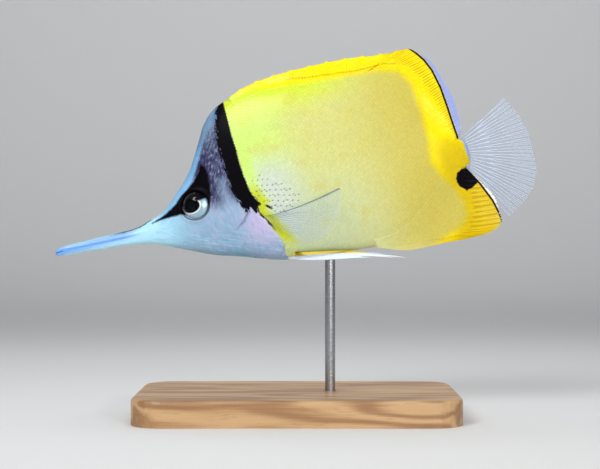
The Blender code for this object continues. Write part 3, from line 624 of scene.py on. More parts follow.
def shaped_grid(name, columns, rows, two_faced=False):
    """A flat grid as a mesh, with each vertex's column and row, and whether it is on the far face."""
    bm = bmesh.new()
    bmesh.ops.create_grid(bm, x_segments=columns - 1, y_segments=rows - 1, size=0.5)
    near = len(bm.verts)
    if two_faced:
        bmesh.ops.extrude_face_region(bm, geom=bm.faces[:], use_keep_orig=True)
    mesh = bpy.data.meshes.new(name)
    bm.to_mesh(mesh)
    bm.free()
    flat = np.empty(len(mesh.vertices) * 3, np.float32)
    mesh.vertices.foreach_get("co", flat)
    flat = flat.reshape(-1, 3) + 0.5
    column = np.rint(flat[:, 0] * (columns - 1)).astype(int)
    row = np.rint(flat[:, 1] * (rows - 1)).astype(int)
    return mesh, column, row, np.arange(len(flat)) >= near


def close_mesh(mesh):
    """Merges doubled points, fills open ends and turns the faces outwards."""
    bm = bmesh.new()
    bm.from_mesh(mesh)
    bmesh.ops.remove_doubles(bm, verts=bm.verts, dist=1e-8)
    rims = [edge for edge in bm.edges if edge.is_boundary]
    if rims:
        bmesh.ops.holes_fill(bm, edges=rims, sides=0)
    bmesh.ops.recalc_face_normals(bm, faces=bm.faces)
    bm.to_mesh(mesh)
    bm.free()


class Wire:
    """A number in a shader whose arithmetic adds Math nodes."""

    def __init__(self, paint, socket):
        self.paint = paint
        self.socket = socket

    def __add__(self, other):
        return self.paint.math("ADD", self, other)

    def __sub__(self, other):
        return self.paint.math("SUBTRACT", self, other)

    def __rsub__(self, other):
        return self.paint.math("SUBTRACT", other, self)

    def __mul__(self, other):
        return self.paint.math("MULTIPLY", self, other)

    def __truediv__(self, other):
        return self.paint.math("DIVIDE", self, other)

    __radd__ = __add__
    __rmul__ = __mul__


class Paint:
    """A material and the nodes that make it."""

    def __init__(self, name):
        self.material = bpy.data.materials.new(name)
        self.material.use_nodes = True
        self.tree = self.material.node_tree
        self.tree.nodes.clear()

    def node(self, kind, settings=(), sockets=(), output=0):
        """Adds a node: its settings first, then the values or links of its sockets."""
        made = self.tree.nodes.new(kind)
        for name, value in dict(settings).items():
            if name == "stops":
                ramp = made.color_ramp
                for stop, (place, colour) in zip(list(ramp.elements), value):
                    stop.position, stop.color = place, (*colour, 1.0)
                for place, colour in value[2:]:
                    ramp.elements.new(place).color = (*colour, 1.0)
            else:
                setattr(made, name, value)
        for name, value in dict(sockets).items():
            known = {socket.identifier: socket for socket in made.inputs}
            target = known.get(name) or made.inputs[name]
            if isinstance(value, Wire):
                self.tree.links.new(value.socket, target)
            elif hasattr(value, "__len__") and len(value) == 3 and target.type == "RGBA":
                target.default_value = (*value, 1.0)
            else:
                target.default_value = value
        return Wire(self, made.outputs[output]) if made.outputs else None

    def math(self, operation, *values):
        return self.node("ShaderNodeMath", {"operation": operation}, dict(enumerate(values)))

    def most(self, first, second):
        return self.math("MAXIMUM", first, second)

    def least(self, first, second):
        return self.math("MINIMUM", first, second)

    def attribute(self, name):
        return self.node("ShaderNodeAttribute", {"attribute_name": name}, output=2)

    def place(self):
        return self.node("ShaderNodeTexCoord", output=3)

    def noise(self, scale, detail=2.0, roughness=0.5, stretch=None, turn=0.0):
        """Fractal noise in object coordinates, about 0.5, at a scale in cycles a metre."""
        vector = self.place()
        if stretch:
            sockets = {"Vector": vector, "Rotation": (0.0, turn, 0.0), "Scale": stretch}
            vector = self.node("ShaderNodeMapping", {"vector_type": "TEXTURE"}, sockets)
        sockets = {"Vector": vector, "Scale": scale, "Detail": detail, "Roughness": roughness}
        return self.node("ShaderNodeTexNoise", {}, sockets)

    def ease(self, value, low, high, start=0.0, end=1.0):
        """A smooth step of a number from start at low to end at high."""
        sockets = {"Value": value, "From Min": low, "From Max": high, "To Min": start, "To Max": end}
        return self.node("ShaderNodeMapRange", {"interpolation_type": "SMOOTHSTEP"}, sockets)

    def near(self, distance, none, full):
        """0 further than one distance from a line, and 1 within the other."""
        return self.ease(self.math("ABSOLUTE", distance), none, full)

    def mix(self, share, first, second):
        """From the first colour at a share of 0 to the second at 1."""
        settings = {"data_type": "RGBA", "blend_type": "MIX", "clamp_factor": True}
        sockets = {"Factor_Float": share, "A_Color": first, "B_Color": second}
        return self.node("ShaderNodeMix", settings, sockets, output=2)

    def bump(self, height, strength, distance):
        sockets = {"Height": height, "Strength": strength, "Distance": distance}
        return self.node("ShaderNodeBump", {}, sockets)

    def principled(self, **sockets):
        """The surface shader, with its sockets as lower case words."""
        titles = {key: key.replace("_", " ").title().replace("Ior", "IOR") for key in sockets}
        named = {titles[key]: value for key, value in sockets.items()}
        return self.node("ShaderNodeBsdfPrincipled", {}, named)

    def finish(self, shader):
        self.node("ShaderNodeOutputMaterial", {}, {"Surface": shader})
        return self.material


def yellow_body(paint, look, mark, patchy, rough, wobble):
    """Yellows of flank and midline fins, the pale chest, and the clear tail fin's start."""
    along, height = mark["along"], mark["height"]
    colour = paint.mix(paint.ease(along, 80.0, 108.0), look.nape_yellow, look.flank_yellow)
    colour = paint.mix(paint.ease(along, 112.0, 150.0), colour, look.rear_yellow)
    top = paint.ease(height + patchy * 6.0, 30.0, 47.0) * paint.ease(along, 108.0, 136.0, 0.9, 0.1)
    colour = paint.mix(top, colour, look.top_yellow)
    low = paint.ease(height, 17.0, -14.0) * paint.ease(along, 140.0, 102.0)
    colour = paint.mix(low * 0.9, colour, look.belly)
    colour = paint.mix(paint.ease(patchy, 0.52, 0.72) * 0.35, colour, look.rear_yellow)
    chest = paint.ease(along, 106.0, 88.0) * paint.ease(height, 23.0, 6.0)
    chest = chest * paint.ease(height, -22.0, -5.0) * paint.ease(mark["body"] + wobble, 2.2, 6.8)
    colour = paint.mix(chest * 0.86, colour, look.chest)
    spread = mark["body"] + wobble * 1.5 - paint.ease(height, -4.0, -12.0) * 1.6
    border = paint.ease(spread, 5.4, 1.4) * paint.ease(height, 9.0, 3.0)
    border = border * paint.ease(height, -20.0, -14.0, 0.3, 1.0)
    colour = paint.mix(border * 0.9, colour, look.border_yellow)
    ochre = paint.ease(height + patchy * 6.0, 14.0, 4.0) * paint.ease(along, 150.0, 157.0)
    deep_tone = paint.mix(ochre * 0.9, look.deep_yellow, look.ochre)
    colour = paint.mix(mark["deep"], colour, deep_tone)
    sheath = paint.near(mark["sheath"] + rough * 0.4, 0.42, 0.08) * paint.ease(along, 98.0, 108.0)
    colour = paint.mix(sheath * 0.5, colour, look.sheath_brown_and_gap_shade)
    past = along - (height - 1.0) * TAIL_EDGE_LEAN - TAIL_EDGE + rough
    clear = paint.ease(past, -0.3, 0.3) * paint.ease(height, -6.6, -5.4)
    return paint.mix(clear, colour, look.hyaline)


def silver_head(paint, look, mark, rough):
    """Pale blue snout, silvery cheek with its creases and streaks, and pink gill cover, with painted shade
    along the snout's side and on the lower cheek and throat.
    """
    along, height = mark["along"], mark["height"]
    colour = paint.mix(paint.ease(along, 38.0, 60.0), look.snout, look.cheek)
    # Painted shade: the lower cheek and the throat grow darker towards the bottom of the head
    low_cheek = paint.ease(height + along * 0.25, 6.0, -1.0) * paint.ease(along, 58.0, 66.0)
    colour = paint.mix(low_cheek * 0.5, colour, look.low_cheek)
    painted_throat_shade = paint.ease(height + along * 0.26, 2.5, -3.2) * paint.ease(along, 44.0, 62.0)
    colour = paint.mix(painted_throat_shade * 0.7, colour, look.low_cheek)
    pink = paint.ease(along, 70.0, 80.0) * paint.ease(height, 3.0, -4.0)
    pink = pink * paint.ease(height, -19.0, -9.0, 0.3, 1.0)
    colour = paint.mix(pink * 0.9, colour, look.opercle)
    blush = paint.ease(paint.noise(420.0, 3.0, 0.6), 0.5, 0.68) * paint.ease(along, 52.0, 64.0)
    colour = paint.mix(blush * 0.3, colour, look.opercle)
    # Painted shade: a darker blue band along the middle of the snout's side, on its front part
    middle = paint.ease(height, -2.6, -0.6) * paint.ease(height, 1.9, 0.4) * paint.ease(along, 37.0, 27.0)
    colour = paint.mix(middle * 0.85, colour, look.snout_side_shade)
    streaks = paint.noise(1100.0, 3.0, 0.6, stretch=(5.0, 1.0, 1.0), turn=math.radians(62))
    on_cheek = paint.ease(along, 46.0, 58.0)
    colour = paint.mix(paint.ease(streaks, 0.5, 0.7) * on_cheek * 0.32, colour, look.opercle)
    colour = paint.mix(paint.ease(streaks, 0.5, 0.3) * on_cheek * 0.42, colour, look.low_cheek)
    crease = paint.near(mark["crease"] + rough * 0.6, 0.75, 0.15) * paint.ease(along, 69.0, 74.0)
    colour = paint.mix(crease * 0.5, colour, look.purple)
    jaw_lines = paint.noise(1200.0, 3.0, 0.6, stretch=(8.0, 1.0, 1.0), turn=math.radians(8))
    jaw = paint.ease(height + along * 0.3, 17.0, 9.0) * paint.ease(along, 33.0, 42.0)
    colour = paint.mix(jaw * paint.ease(jaw_lines, 0.54, 0.66) * 0.5, colour, look.snout)
    return paint.mix(jaw * paint.ease(jaw_lines, 0.47, 0.36) * 0.3, colour, look.low_cheek)


def dusky_crown(paint, look, mark, silver, rough, wobble):
    """Speckled purple between eye and nape band, and the light stripe along the forehead."""
    along, height = mark["along"], mark["height"]
    flecks = paint.noise(1350.0, 3.0, 0.65, stretch=(2.6, 1.0, 1.0), turn=math.radians(98))
    near_mask = paint.ease(mark["mask"], -9.0, -0.4)
    crown = paint.ease(height, 7.0, 15.0) * paint.ease(height, 34.0, 22.0, 0.62, 0.95)
    behind_eye = near_mask * paint.ease(height + along * 0.3, 18.5, 25.0)
    dusk = paint.most(crown, behind_eye) * paint.ease(along, 56.0, 60.0)
    near_band = paint.ease(mark["band"], -5.0, -0.2) * paint.ease(height, -1.0, 7.0)
    dusk = paint.most(dusk, near_band * 0.85)
    cloud = paint.ease(paint.noise(420.0, 3.0, 0.65), 0.36, 0.62)
    speckle = paint.ease(flecks, 0.58, 0.42) * 0.55 + cloud * 0.45
    colour = paint.mix(dusk * (speckle * 0.4 + 0.74), silver, look.purple)
    light_fleck = paint.ease(flecks, 0.56, 0.66) * dusk
    colour = paint.mix(light_fleck * 0.36, colour, look.opercle)
    stripe = paint.ease(mark["stripe"] + wobble * 0.7, 5.6, 3.6) * paint.ease(along, 41.0, 45.0)
    stripe = stripe * paint.ease(height + rough * 12.0, 31.0, 21.0, 0.35, 1.0)
    return paint.mix(stripe * 0.88, colour, look.stripe)


def black_marks(paint, mark, rough, wobble):
    """How black a place is: eye mask, nape band, socket, gill and snout lines, and anal spot."""
    along, height = mark["along"], mark["height"]
    mask = paint.ease(mark["mask"] + wobble * 0.6, -0.6, 0.3)
    hairs = paint.noise(1500.0, 2.0, 0.6, stretch=(4.0, 1.0, 1.0), turn=math.radians(62)) - 0.5
    front_soft = paint.ease(mark["body"], 0.0, -3.0)
    band = paint.ease(mark["band"] + wobble * 0.5 + hairs * front_soft * 5.0, -0.3, 0.3)
    socket = paint.near(mark["eye"] - SOCKET_LINE, 0.42, 0.1) * 0.8
    gill = paint.near(mark["gill"] - 0.5 + rough * 0.8, 0.75, 0.3) * paint.ease(height, -14.0, -8.0)
    gill = gill * paint.ease(height, 3.0, 0.0) * paint.ease(along, 78.0, 80.0) * 0.92
    snout = paint.ease(mark["stripe"] + rough * 0.8, 0.95, 0.35) * paint.ease(along, 20.0, 28.0)
    snout = snout * paint.ease(along, 41.0, 38.0) * 0.85
    spot = paint.ease(mark["spot"] + wobble * 0.7, -0.2, 0.25)
    black = mask
    for other in (band, socket, gill, snout, spot):
        black = paint.most(black, other)
    return paint.least(black, 1.0)


def fish_colour(paint):
    """Colour of skin, scales and yellow fins from their markings, and how black each place is."""
    look = bpy.context.scene.fish_colours
    mark = {name: paint.attribute(name) for name in MARKS}
    patchy, fine = paint.noise(130.0, 3.0), paint.noise(1500.0, 2.0)
    rough = paint.noise(900.0, 3.0, 0.6) - 0.5
    wobble = rough * 1.2
    yellow = yellow_body(paint, look, mark, patchy, rough, wobble)
    silver = dusky_crown(paint, look, mark, silver_head(paint, look, mark, rough), rough, wobble)
    colour = paint.mix(paint.ease(mark["body"] + wobble * 0.4, -0.25, 0.25), silver, yellow)
    value = 0.93 + patchy * 0.08 + (fine - 0.5) * 0.14
    sockets = {"Color": colour, "Hue": 0.5, "Saturation": 1.0, "Value": value}
    varied = paint.node("ShaderNodeHueSaturation", {}, sockets)
    return varied, black_marks(paint, mark, rough, wobble)


def skin_material():
    """Wet skin, seen bare on the snout, round the eyes and between scales."""
    paint = Paint("wet_skin")
    look = bpy.context.scene.fish_colours
    colour, black = fish_colour(paint)
    colour = paint.mix(black, colour, look.black)
    cells = paint.node("ShaderNodeTexVoronoi", {}, {"Vector": paint.place(), "Scale": 1900.0})
    grain = paint.noise(2600.0, 3.0, 0.6)
    normal = paint.bump(cells * 0.6 + grain * 0.5, 0.35, 0.00012)
    shader = paint.principled(
        base_color=colour, roughness=paint.ease(grain, 0.3, 0.7, 0.3, 0.44) + black * 0.15,
        specular_ior_level=0.05,
        coat_weight=0.4 - black * 0.37, coat_roughness=0.12, normal=normal,
    )
    return paint.finish(shader)


def scale_material():
    """Scales: the skin's markings, with painted shade darkening each scale towards its edge where the
    scales overlap, and each scale a tone of its own.
    """
    paint = Paint("overlapping_scales")
    look = bpy.context.scene.fish_colours
    colour, black = fish_colour(paint)
    rim, tint, dot = paint.attribute("rim"), paint.attribute("tint"), paint.attribute("dot")
    # Painted shade: darker and more saturated towards each scale's edge, where the scales overlap
    colour = paint.node(
        "ShaderNodeHueSaturation", {},
        {"Color": colour, "Saturation": 1.0 + rim * 0.2, "Value": 1.04 + tint * 0.045 - rim * 0.15},
    )
    colour = paint.mix(paint.ease(dot, 0.3, 0.55) * 0.85, colour, look.purple)
    colour = paint.mix(black, colour, look.black)
    grain = paint.noise(3200.0, 2.0, 0.5)
    normal = paint.bump(grain, 0.2, 0.00008)
    shader = paint.principled(
        base_color=colour, roughness=paint.ease(grain + tint * 0.2, 0.2, 0.8, 0.32, 0.5) + black * 0.15,
        specular_ior_level=0.05,
        coat_weight=0.3 - black * 0.28, coat_roughness=0.15, normal=normal,
    )
    return paint.finish(shader)


class FISH_OT_skin(bpy.types.Operator):
    """Lofts one skin over snout, head, gill covers, trunk and tail stalk"""

    bl_idname = "fish.skin"
    bl_label = "Skin"

    def execute(self, context):
        _, grid, _, _ = flesh_grid()
        mesh, column, row, _ = shaped_grid("skin", grid.shape[0], grid.shape[1])
        points = grid[column, row]
        mesh.vertices.foreach_set("co", to_row(points).astype(np.float32).ravel())
        add_attributes(mesh, markings(points))
        close_mesh(mesh)
        piece = add_piece("skin", mesh, skin_material(), 70.0)
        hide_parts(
            "snout", "head", "trunk", "tail_stalk", "gill_cover_left", "gill_cover_right"
        )
        return {"FINISHED"}


def scale_shape():
    """One scale with its free edge towards +X: its points, triangles, and which points are on top."""
    bm = bmesh.new()
    bmesh.ops.create_circle(bm, cap_ends=True, segments=SCALE_SIDES, radius=1.0)
    spread = bmesh.ops.extrude_face_region(bm, geom=bm.faces[:], use_keep_orig=True)
    lifted = [item for item in spread["geom"] if isinstance(item, bmesh.types.BMVert)]
    bmesh.ops.translate(bm, verts=lifted, vec=(0.0, 0.0, 1.0))
    top = [item for item in spread["geom"] if isinstance(item, bmesh.types.BMFace)]
    bmesh.ops.inset_region(bm, faces=top, thickness=0.36)
    bmesh.ops.poke(bm, faces=top)
    bmesh.ops.recalc_face_normals(bm, faces=bm.faces)
    bmesh.ops.triangulate(bm, faces=bm.faces)
    points = np.array([vert.co for vert in bm.verts])
    triangles = np.array([[vert.index for vert in face.verts] for face in bm.faces])
    bm.free()
    return points, triangles


def coat_mesh(name, surface, roots, lie, size, rise, unwrap, seed, wraps=False, dotted=0.0, passes=1):
    """Scales laid on a grid surface: each follows it, with its front sunk and its free edge raised."""
    grid, normal = surface
    shape, triangles = scale_shape()
    rng = np.random.default_rng(seed)
    count = len(roots)
    out = sample(normal, roots[:, 0], roots[:, 1], wraps)
    out /= np.linalg.norm(out, axis=-1, keepdims=True)
    lie = lie - out * np.sum(lie * out, axis=-1, keepdims=True)
    lie /= np.linalg.norm(lie, axis=-1, keepdims=True)
    beside = np.cross(out, lie)
    turn = rng.normal(0.0, 0.05, count)[:, None]
    lie, beside = lie * np.cos(turn) + beside * np.sin(turn), beside * np.cos(turn) - lie * np.sin(turn)
    size = size * (1 + rng.normal(0.0, 0.05, (count, 1)))
    x, y, on_top = shape[:, 0], shape[:, 1], shape[:, 2]
    radius = np.minimum(np.hypot(x, y), 1.0)
    step = lie[:, None] * (x * size[:, :1])[..., None] + beside[:, None] * (y * size[:, 1:])[..., None]
    column, row = roots[:, :1], roots[:, 1:]
    target = sample(grid, column, row, wraps) + step
    small = 0.25
    for _ in range(passes):
        across = sample(grid, column + small, row, wraps) - sample(grid, column - small, row, wraps)
        up = sample(grid, column, row + small, wraps) - sample(grid, column, row - small, wraps)
        miss = (target - sample(grid, column, row, wraps)) * 2 * small
        aa, bb, ab = np.sum(across * across, -1), np.sum(up * up, -1), np.sum(across * up, -1)
        da, db = np.sum(miss * across, -1), np.sum(miss * up, -1)
        det = np.maximum(aa * bb - ab * ab, 1e-12)
        column = column + np.clip((da * bb - db * ab) / det, -9, 9)
        row = row + np.clip((db * aa - da * ab) / det, -9, 9)
    points, out = sample(grid, column, row, wraps), sample(normal, column, row, wraps)
    tilt = rise[:, None] * ((x + 1) * 0.5 - 0.9 * (1 - x) * 0.5 + 0.28 * (1 - radius**2))
    lift = tilt - (1 - on_top) * SCALE_THICKNESS * (rise / rise.max())[:, None]
    points = points + out * lift[..., None]
    k = len(shape)
    faces = (triangles[None] + k * np.arange(count)[:, None, None]).reshape(-1, 3)
    mesh = bpy.data.meshes.new(name)
    mesh.vertices.add(count * k)
    mesh.vertices.foreach_set("co", to_row(points).astype(np.float32).ravel())
    mesh.loops.add(faces.size)
    mesh.loops.foreach_set("vertex_index", faces.astype(np.int32).ravel())
    mesh.polygons.add(len(faces))
    mesh.polygons.foreach_set("loop_start", np.arange(0, faces.size, 3, dtype=np.int32))
    mesh.update(calc_edges=True)
    middle = sample(grid, roots[:, 0], roots[:, 1], wraps)[:, None]
    values = markings(points * 0.45 + middle * 0.55)
    # How near a point on a scale's top lies to its edge, for the painted shade along the edges
    values["rim"] = np.broadcast_to(ease(0.45, 1.0, radius) * on_top, (count, k))
    values["tint"] = np.broadcast_to(rng.normal(0.0, 0.5, count).clip(-1, 1)[:, None], (count, k))
    fleck = bump_at(np.hypot(x - 0.25, y), 0.42) * on_top
    values["dot"] = np.broadcast_to(dotted, count)[:, None] * fleck
    add_attributes(mesh, values)
    patch = unwrap[:, None] + shape[None, :, :2] * 0.0015
    layer = mesh.uv_layers.new(name="OFBake")
    layer.data.foreach_set("uv", patch.reshape(-1, 2)[faces.ravel()].astype(np.float32).ravel())
    return mesh


def body_roots():
    """Roots of the left flank's scales in staggered rows: grid places, lie, size and unwrap."""
    places, grid, _, arcs = flesh_grid()
    whole, widest = arcs[:, 0], arcs[:, 1]
    fine = np.linspace(SCALE_FRONT, FLESH_END - 0.4, 4000)
    counts = running_count(fine, scale_pitch)
    half = POINTS_ROUND / 2
    found = []
    for line in range(-75, 76):
        steps = np.arange(0.5 * (line % 2), counts[-1])
        along = np.interp(steps, counts, fine)
        found.append(np.stack((along, np.full(len(along), line)), -1))
    found = np.concatenate(found)
    along, line = found.T

    def grid_place(along, line):
        column = np.interp(along, places, np.arange(len(places)))
        length = np.interp(along, places, whole)
        arc = np.interp(along, places, widest) + line * scale_pitch(along) * ROW_SPACING
        return column, arc / length * half, arc, length

    column, row, arc, length = grid_place(along, line)
    keep = (arc > 0.1) & (arc < length - 0.1)
    at = np.clip(row, 0, half)
    spot = sample(grid, column, at)
    eye = eye_distance(spot[:, 0], spot[:, 2])
    keep &= eye > EYE_BARE
    gill, where = line_distance(spot[:, 0], spot[:, 2], GILL_EDGE)
    keep &= ~((gill > -0.1) & (gill < 1.15) & (where > 0.08) & (where < 0.9))
    rng = np.random.default_rng(RANDOM_SEED)
    keep &= along + rng.normal(0.0, 1.0, len(along)) > SCALE_FRONT + 2.0
    for x, z in NOSTRILS:
        keep &= np.hypot(spot[:, 0] - x, spot[:, 2] - z) > 1.3
    ends = []
    for step in (0.4, -0.4):
        near_column, near_row, _, _ = grid_place(along + step, line)
        ends.append(sample(grid, near_column, np.clip(near_row, 0, half)))
    lie = ends[0] - ends[1]
    pitch = scale_pitch(along)
    size = np.stack((pitch * 0.9, pitch * 0.63), -1)
    unwrap = np.stack((along / FLESH_END, 0.04 + 0.9 * arc / whole.max()), -1)
    rear, rise = (spot[:, ::2] - CHEST_DOTS[0]).T / math.sqrt(2)
    far = np.hypot((rear - rise) / CHEST_DOTS[1][0], (rear + rise) / CHEST_DOTS[1][1])
    level = (spot[:, 2] - DOT_SLOPE * spot[:, 0]) / DOT_SPACING[1]
    step = spot[:, 0] / DOT_SPACING[0] + 0.5 * (np.rint(level) % 2)
    off_step, off_level = step - np.rint(step), level - np.rint(level)
    off = np.hypot(off_step * DOT_SPACING[0], off_level * DOT_SPACING[1])
    dotted = (far < rng.normal(0.95, 0.1, len(far))) & (off < 0.55)
    return [part[keep] for part in (np.stack((column, row), -1), lie, size, unwrap, spot, dotted)]


class FISH_OT_scales(bpy.types.Operator):
    """Lays the overlapping scales of head and flanks over the skin"""

    bl_idname = "fish.scales"
    bl_label = "Scales"

    def execute(self, context):
        material = scale_material()
        _, grid, normal, _ = flesh_grid()
        roots, lie, size, unwrap, spot, dotted = body_roots()
        rise = context.scene.fish_sizes.scale_rise / MM * (size[:, 0] / size[:, 0].max()) ** 0.5
        rise *= ease(SCALE_FRONT, SCALE_FRONT + 16.0, spot[:, 0]) * 0.8 + 0.2
        zones = (
            ("head", spot[:, 0] < 80.0),
            ("shoulder", (spot[:, 0] >= 80.0) & (spot[:, 0] < 118.0)),
            ("flank", spot[:, 0] >= 118.0),
        )
        for seed, side in enumerate(("left", "right")):
            places_of, lies = roots, lie
            if side == "right":
                places_of = np.stack((roots[:, 0], POINTS_ROUND - roots[:, 1]), -1)
                lies = lie * (1, -1, 1)
            for number, (zone, chosen) in enumerate(zones):
                mesh = coat_mesh(
                    f"scales_{zone}_{side}", (grid, normal), places_of[chosen], lies[chosen], size[chosen],
                    rise[chosen], unwrap[chosen], RANDOM_SEED + 10 * seed + number, wraps=True,
                    dotted=dotted[chosen],
                )
                slot = "head_skin" if zone == "head" else "yellow_scales"
                add_piece(f"scales_{zone}_{side}", mesh, material)
        return {"FINISHED"}


def ray_ridges(across, out, rays, forks, slim):
    """How high a ray stands, 0 to 1, at shares across and out; soft rays fork at two shares."""
    from_ray = across * (rays - 1) - np.rint(across * (rays - 1))
    width = slim * (1 - 0.25 * out)
    if not forks:
        return bump_at(from_ray, width)
    first, second = ease(forks[0], forks[0] + 0.2, out), ease(forks[1], forks[1] + 0.16, out)
    width = width * (1 - 0.38 * first) * (1 - 0.3 * second)
    spots = [a * 0.23 * first + b * 0.1 * second for a in (-1, 1) for b in (-1, 1)]
    return np.max([bump_at(from_ray - spot, width) for spot in spots], axis=0)


def outside(along, height, line):
    """How far places lie outside the flesh's top or keel line, its side, and how steep it is."""
    sign = 1 if line is top_line else -1
    slope = (line(along + 0.1) - line(along - 0.1)) / 0.2
    steep = np.hypot(1.0, slope)
    return sign * (height - line(along)) / steep, sign, steep


def fairing(along, height, line, thin):
    """Half a midline fin's thickness: under the flesh inside its outline, a soft hollow outside."""
    away, sign, steep = outside(along, height, line)

    def flesh_at(depth):
        return flesh_side(along, line(along) - sign * depth * steep)

    start = flesh_at(FAIRING_INSIDE) - FAIRING_SINK
    fall = flesh_at(FAIRING_INSIDE - 0.4) - flesh_at(FAIRING_INSIDE + 0.4)
    span = FAIRING_INSIDE + FAIRING_OUTSIDE
    t = np.clip((away + FAIRING_INSIDE) / span, 0.0, 1.0)
    hollow = start * (1 + 2 * t) * (1 - t) ** 2 + fall / 0.8 * span * t * (1 - t) ** 2
    hollow = hollow + thin * t * t * (3 - 2 * t)
    buried = np.clip(-away - FAIRING_INSIDE, 0.0, 3.0)
    return np.where(buried > 0, flesh_side(along, height) - FAIRING_SINK - buried * 0.3, hollow)


def fin_arrays(
    rays, per_ray, rows, place, middle, line=None, root_thickness=0.0, quick=1.0, forks=(0.42, 0.7),
    notch=0.0, slim=0.2, bare_from=0.0,
):
    """A fin as two facing grids of points, with the height of its rays, reach, length and shares."""
    sizes = bpy.context.scene.fish_sizes
    web, rise = sizes.web_thickness / MM, sizes.ray_rise / MM
    across = np.linspace(0, 1, (rays - 1) * per_ray + 1)[:, None]
    out = np.linspace(0, 1, rows)[None, :]
    across, out = np.broadcast_arrays(across, out)
    ridge = ray_ridges(across, out, rays, forks, slim)
    crest = ray_ridges(across, np.ones_like(out), rays, forks, slim)
    flat = place(across, out * (1 - notch * (1 - crest)))
    along, height = flat[..., 0], flat[..., 1]
    side = middle(along, height, out)
    if line is None:
        half = (web + (root_thickness - web - rise) * (1 - out) ** quick) / 2
    else:
        half = fairing(along, height, line, web / 2)
        ends = ease(0.0, FAIRING_FADE, across) * ease(1.0, 1 - FAIRING_FADE, across)
        half = web / 2 + (half - web / 2) * np.maximum(ends, 0.12)
    half = half + rise / 2 * ridge * (1 - 0.45 * out) * ease(bare_from - 0.12, bare_from + 0.1, out)
    faces = [np.stack((along, side + sign * half, height), -1) for sign in (-1, 1)]
    length = np.linalg.norm(np.diff(flat, axis=1), axis=-1).sum(axis=1)[:, None] * np.ones_like(out)
    return faces, ridge, out, length, across


def fin_piece(name, arrays, material, rim=None):
    """Makes a fin's mesh from its arrays, and puts it in the place of its node."""
    faces, ridge, out, length, across = arrays
    mesh, column, row, far = shaped_grid(name, out.shape[0], out.shape[1], two_faced=True)
    points = np.where(far[:, None], faces[1][column, row], faces[0][column, row])
    mesh.vertices.foreach_set("co", to_row(points).astype(np.float32).ravel())
    values = markings(points)
    values["ray"] = ridge[column, row]
    values["reach"] = out[column, row]
    values["edge"] = (length * (1 - out))[column, row]
    values["across"] = across[column, row]
    if rim:
        values["rim_line"] = line_distance(points[:, 0], points[:, 2], rim)[0]
    add_attributes(mesh, values)
    close_mesh(mesh)
    piece = add_piece(name + "_skin", mesh, material, 60.0)
    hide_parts(name)
    return piece


def flesh_root(line, ends, sign, sunk=FIN_ROOT_DEPTH):
    """A path just inside the flesh's top or keel line between two places along it."""
    along = np.linspace(*ends, 80)
    slope = (line(along + 0.05) - line(along - 0.05)) / 0.1
    away = np.stack((-slope, np.ones_like(slope)), -1)
    away *= -sign * sunk / np.linalg.norm(away, axis=-1, keepdims=True)
    return smooth_path(np.stack((along, line(along)), -1) + away)


def between(root, margin, shares=lambda share: share, bow=None):
    """Side view place on a fin: rays from root to margin, straight or bowed down."""

    def place(across, out):
        start, end = root(shares(across)), margin(across)
        spot = start + (end - start) * out[..., None]
        if bow:
            spot[..., 1] -= bow(across) * 4 * out * (1 - out)
        return spot

    return place


def wavy(along, height, out):
    """How far a midline fin's web sways to the side."""
    return FIN_WAVE * out * np.sin(along / WAVE_ALONG + height / WAVE_UP)


def locate(plane, targets):
    """Fractional columns and rows where a side view grid meets each target, and what it misses by."""
    coarse = plane[::3, ::2]
    nearest = []
    for part in np.array_split(targets, max(1, len(targets) // 200)):
        gap = np.linalg.norm(coarse.reshape(1, -1, 2) - part[:, None], axis=-1)
        nearest.append(np.argmin(gap, axis=1))
    nearest = np.concatenate(nearest)
    column = nearest // coarse.shape[1] * 3.0
    row = nearest % coarse.shape[1] * 2.0
    for _ in range(4):
        miss = targets - sample(plane, column, row)
        step = 0.5
        across = sample(plane, column + step, row) - sample(plane, column - step, row)
        up = sample(plane, column, row + step) - sample(plane, column, row - step)
        det = across[:, 0] * up[:, 1] - across[:, 1] * up[:, 0]
        det = np.where(np.abs(det) < 1e-6, 1e-6, det)
        column = column + np.clip((miss[:, 0] * up[:, 1] - miss[:, 1] * up[:, 0]) / det, -6, 6)
        row = row + np.clip((across[:, 0] * miss[:, 1] - across[:, 1] * miss[:, 0]) / det, -6, 6)
        column = np.clip(column, 0, plane.shape[0] - 1)
        row = np.clip(row, 0, plane.shape[1] - 1)
    return column, row, np.linalg.norm(targets - sample(plane, column, row), axis=-1)


